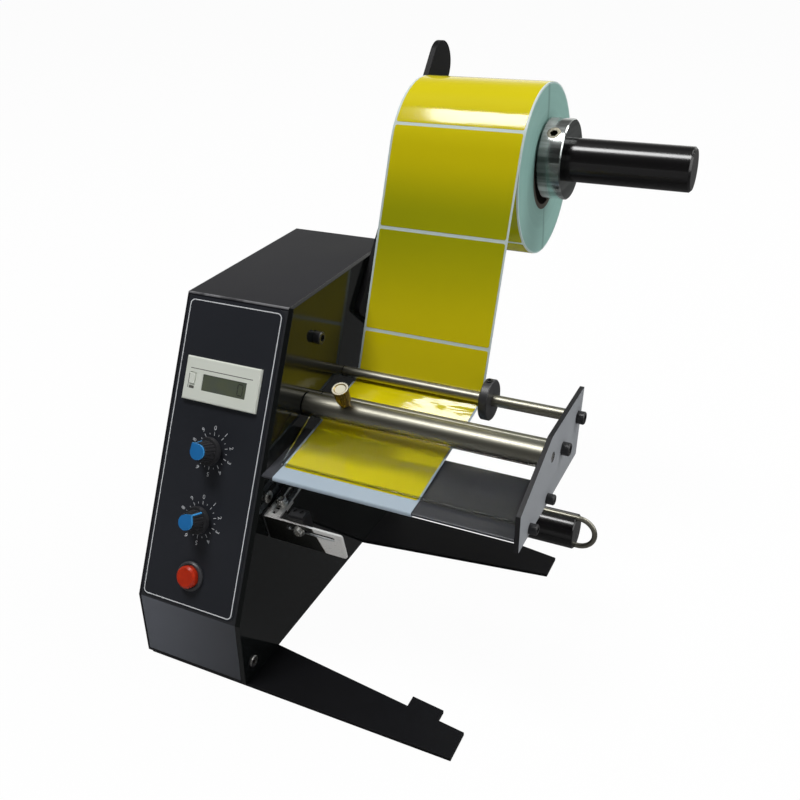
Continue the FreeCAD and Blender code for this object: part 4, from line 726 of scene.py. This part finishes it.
feed(turn_edges, Base_Color=(painted_dark_streak * 0.45).blend(paper, (0.05, 0.11, 0.09)),
     Normal=relief(fine_rings * 0.5 + wide_rings, 0.00025, 0.5))

card, at = finish("core_card", (0.07, 0.06, 0.05), 0.8, Specular_IOR_Level=0.2)
feed(card, Base_Color=noise(at, 500, 4.0).blend((0.055, 0.048, 0.038), (0.10, 0.085, 0.07)),
     Normal=relief(noise(at, 900, 3.0), 0.0001, 0.4))
dress(card, "roll_core")

# ---- rods, press tube and clear flap -------------------------------------------------------
# Turned steel rods between the two plates and a thick tube that turns on its shaft. The tube
# carries a clear acrylic flap, and a knurled brass screw is its handle.
steel, at = finish("turned_steel", (0.24, 0.225, 0.19), 0.42, Metallic=1.0)
lathe_lines = noise(at, 400, 2.0, (8, 0.4, 0.4))
# Painted light: the underside is a paler, smoother steel than the top, to brighten what it reflects.
painted_bright_underside = (facing(at, 2) * -1.0).band(-0.2, 0.6)
upper_steel = noise(at, 30, 3.0, (1, 0.3, 0.3)).blend((0.225, 0.218, 0.178), (0.31, 0.30, 0.25))
feed(steel, Base_Color=painted_bright_underside.blend(upper_steel, (0.62, 0.58, 0.50)),
     Roughness=lathe_lines * 0.08 + 0.36 - painted_bright_underside * 0.14, Normal=relief(lathe_lines, 0.000004, 0.3))
dress(steel, "guide_rod", "web_rod", "press_tube", "liner_clip")

collar_black, at = finish("collar_black", (0.03, 0.03, 0.032), 0.4)
feed(collar_black, Base_Color=noise(at, 400).blend((0.022, 0.022, 0.024), (0.042, 0.042, 0.044)),
     Normal=relief(noise(at, 1800), 0.00002, 0.3, 0.0004))
dress(collar_black, "guide_collar")

brass, at = finish("brass", (0.40, 0.29, 0.10), 0.3, Metallic=1.0)
screw_lean = math.radians(20)
along_screw = facing(at, 2) * math.cos(screw_lean) - facing(at, 1) * math.sin(screw_lean)
# Painted highlight: the top face is a pale, less metallic cream, unlike the knurled brass.
painted_pale_top = along_screw.band(0.9, 0.98)
knurl_brass = noise(at, 700, 2.0).blend((0.16, 0.11, 0.03), (0.52, 0.38, 0.14))
feed(brass, Base_Color=painted_pale_top.blend(knurl_brass, (0.66, 0.62, 0.48)),
     Roughness=painted_pale_top * 0.3 + 0.3, Metallic=1.0 - painted_pale_top * 0.85,
     Normal=relief(noise(at, 1200, 1.0), 0.0001, 0.4, 0.0002))
dress(brass, "thumb_screw", "spindle_bush")

# A painted shadow: the flap is tinted dark along its front edge.
clear, at = finish("clear_acrylic", (0.93, 0.94, 0.93), 0.02, Transmission_Weight=1.0, IOR=1.25,
                   Specular_IOR_Level=0.05)
painted_edge_shadow = 1.0 - bench_band(at.part(1), 1, 48.9, 49.8)
feed(clear, Base_Color=painted_edge_shadow.blend((0.93, 0.94, 0.93), (0.30, 0.31, 0.29)),
     Roughness=noise(at, 120, 3.0) * 0.04 + 0.01)
dress(clear, "press_flap")

# ---- peel plate and outer plate ------------------------------------------------------------
# A black steel sheet with a rounded front edge, which the liner is drawn round, is screwed between
# the side plate and a grey lacquered plate that ties the free ends of the rods.
plate_black, at = finish("plate_black", (0.014, 0.015, 0.019), 0.25, Specular_IOR_Level=0.35)
feed(plate_black, Base_Color=noise(at, 30).blend((0.038, 0.040, 0.047), (0.052, 0.054, 0.062)),
     Normal=relief(noise(at, 2500), 0.00002, 0.3, 0.0004))
dress(plate_black, "peel_plate")

outer_grey, at = finish("outer_grey", (0.24, 0.25, 0.27), 0.4, Specular_IOR_Level=0.3)
# Painted shade: the broad faces are grey as lit, and the thin edges are painted near black.
painted_lit_face = facing(at, 0).math("ABSOLUTE").band(0.5, 0.95)
grey_coat = noise(at, 40).blend((0.25, 0.265, 0.285), (0.33, 0.345, 0.365))
feed(outer_grey, Base_Color=painted_lit_face.blend((0.010, 0.010, 0.012), grey_coat),
     Normal=relief(noise(at, 2200), 0.00003, 0.4, 0.0003))
dress(outer_grey, "outer_plate")

# ---- sensor and its bracket ----------------------------------------------------------------
# A nickel-plated strip, folded from sheet, is screwed through a slot to a small angle on the side
# plate, and carries the moulded sensor block in a second slot. Its front faces are painted dark as
# shade up to a line that slants across its end plate, and painted bright as lit beyond that line and
# on its other faces.
nickel, at = finish("nickel", (0.55, 0.54, 0.51), 0.3, Metallic=1.0)
brushed = noise(at, 500, 3.0, (1, 8, 8))
slant, slant_z = 0.3, 86.0
painted_lit_end = bench_band(at.part(0) + (at.part(2) - slant_z * mm) * slant, 0, 33.3, 34.0)
painted_lit_faces = (1.0 - (facing(at, 1) * -1.0).band(0.6, 0.9)).math("MAXIMUM", painted_lit_end)
feed(nickel, Base_Color=painted_lit_faces.blend((0.12, 0.12, 0.11), (0.92, 0.91, 0.88)),
     Metallic=1.0 - painted_lit_end * 0.8, Roughness=brushed * 0.2 + 0.2,
     Normal=relief(brushed, 0.00002, 0.3, 0.0002))
dress(nickel, "sensor_bracket", "sensor_mount")

moulded, at = finish("moulded_black", (0.006, 0.006, 0.007), 0.5, Specular_IOR_Level=0.3)
feed(moulded, Normal=relief(noise(at, 2500), 0.00003, 0.4, 0.0002))
dress(moulded, "sensor_body", "power_inlet", "fuse_holder")

# ---- inner parts ---------------------------------------------------------------------------
# A control board on stand-offs, a transformer and a geared motor, screwed to the base and the side
# plate and closed in by the cover. The motor turns the rewind spindle.
solder_mask, at = finish("solder_mask", (0.02, 0.18, 0.07), 0.4)
feed(solder_mask, Base_Color=noise(at, 400).blend((0.015, 0.15, 0.055), (0.03, 0.21, 0.09)))
dress(solder_mask, "control_board")

die_cast, at = finish("die_cast", (0.40, 0.41, 0.42), 0.5, Metallic=1.0)
feed(die_cast, Roughness=noise(at, 900) * 0.3 + 0.35)
dress(die_cast, "gearbox", "drive_motor")

laminated, at = finish("laminated_iron", (0.10, 0.08, 0.07), 0.5)
layers = noise(at, 300, 1.0, (0.1, 0.1, 8))
feed(laminated, Base_Color=layers.blend((0.07, 0.055, 0.05), (0.15, 0.12, 0.10)))
dress(laminated, "transformer")
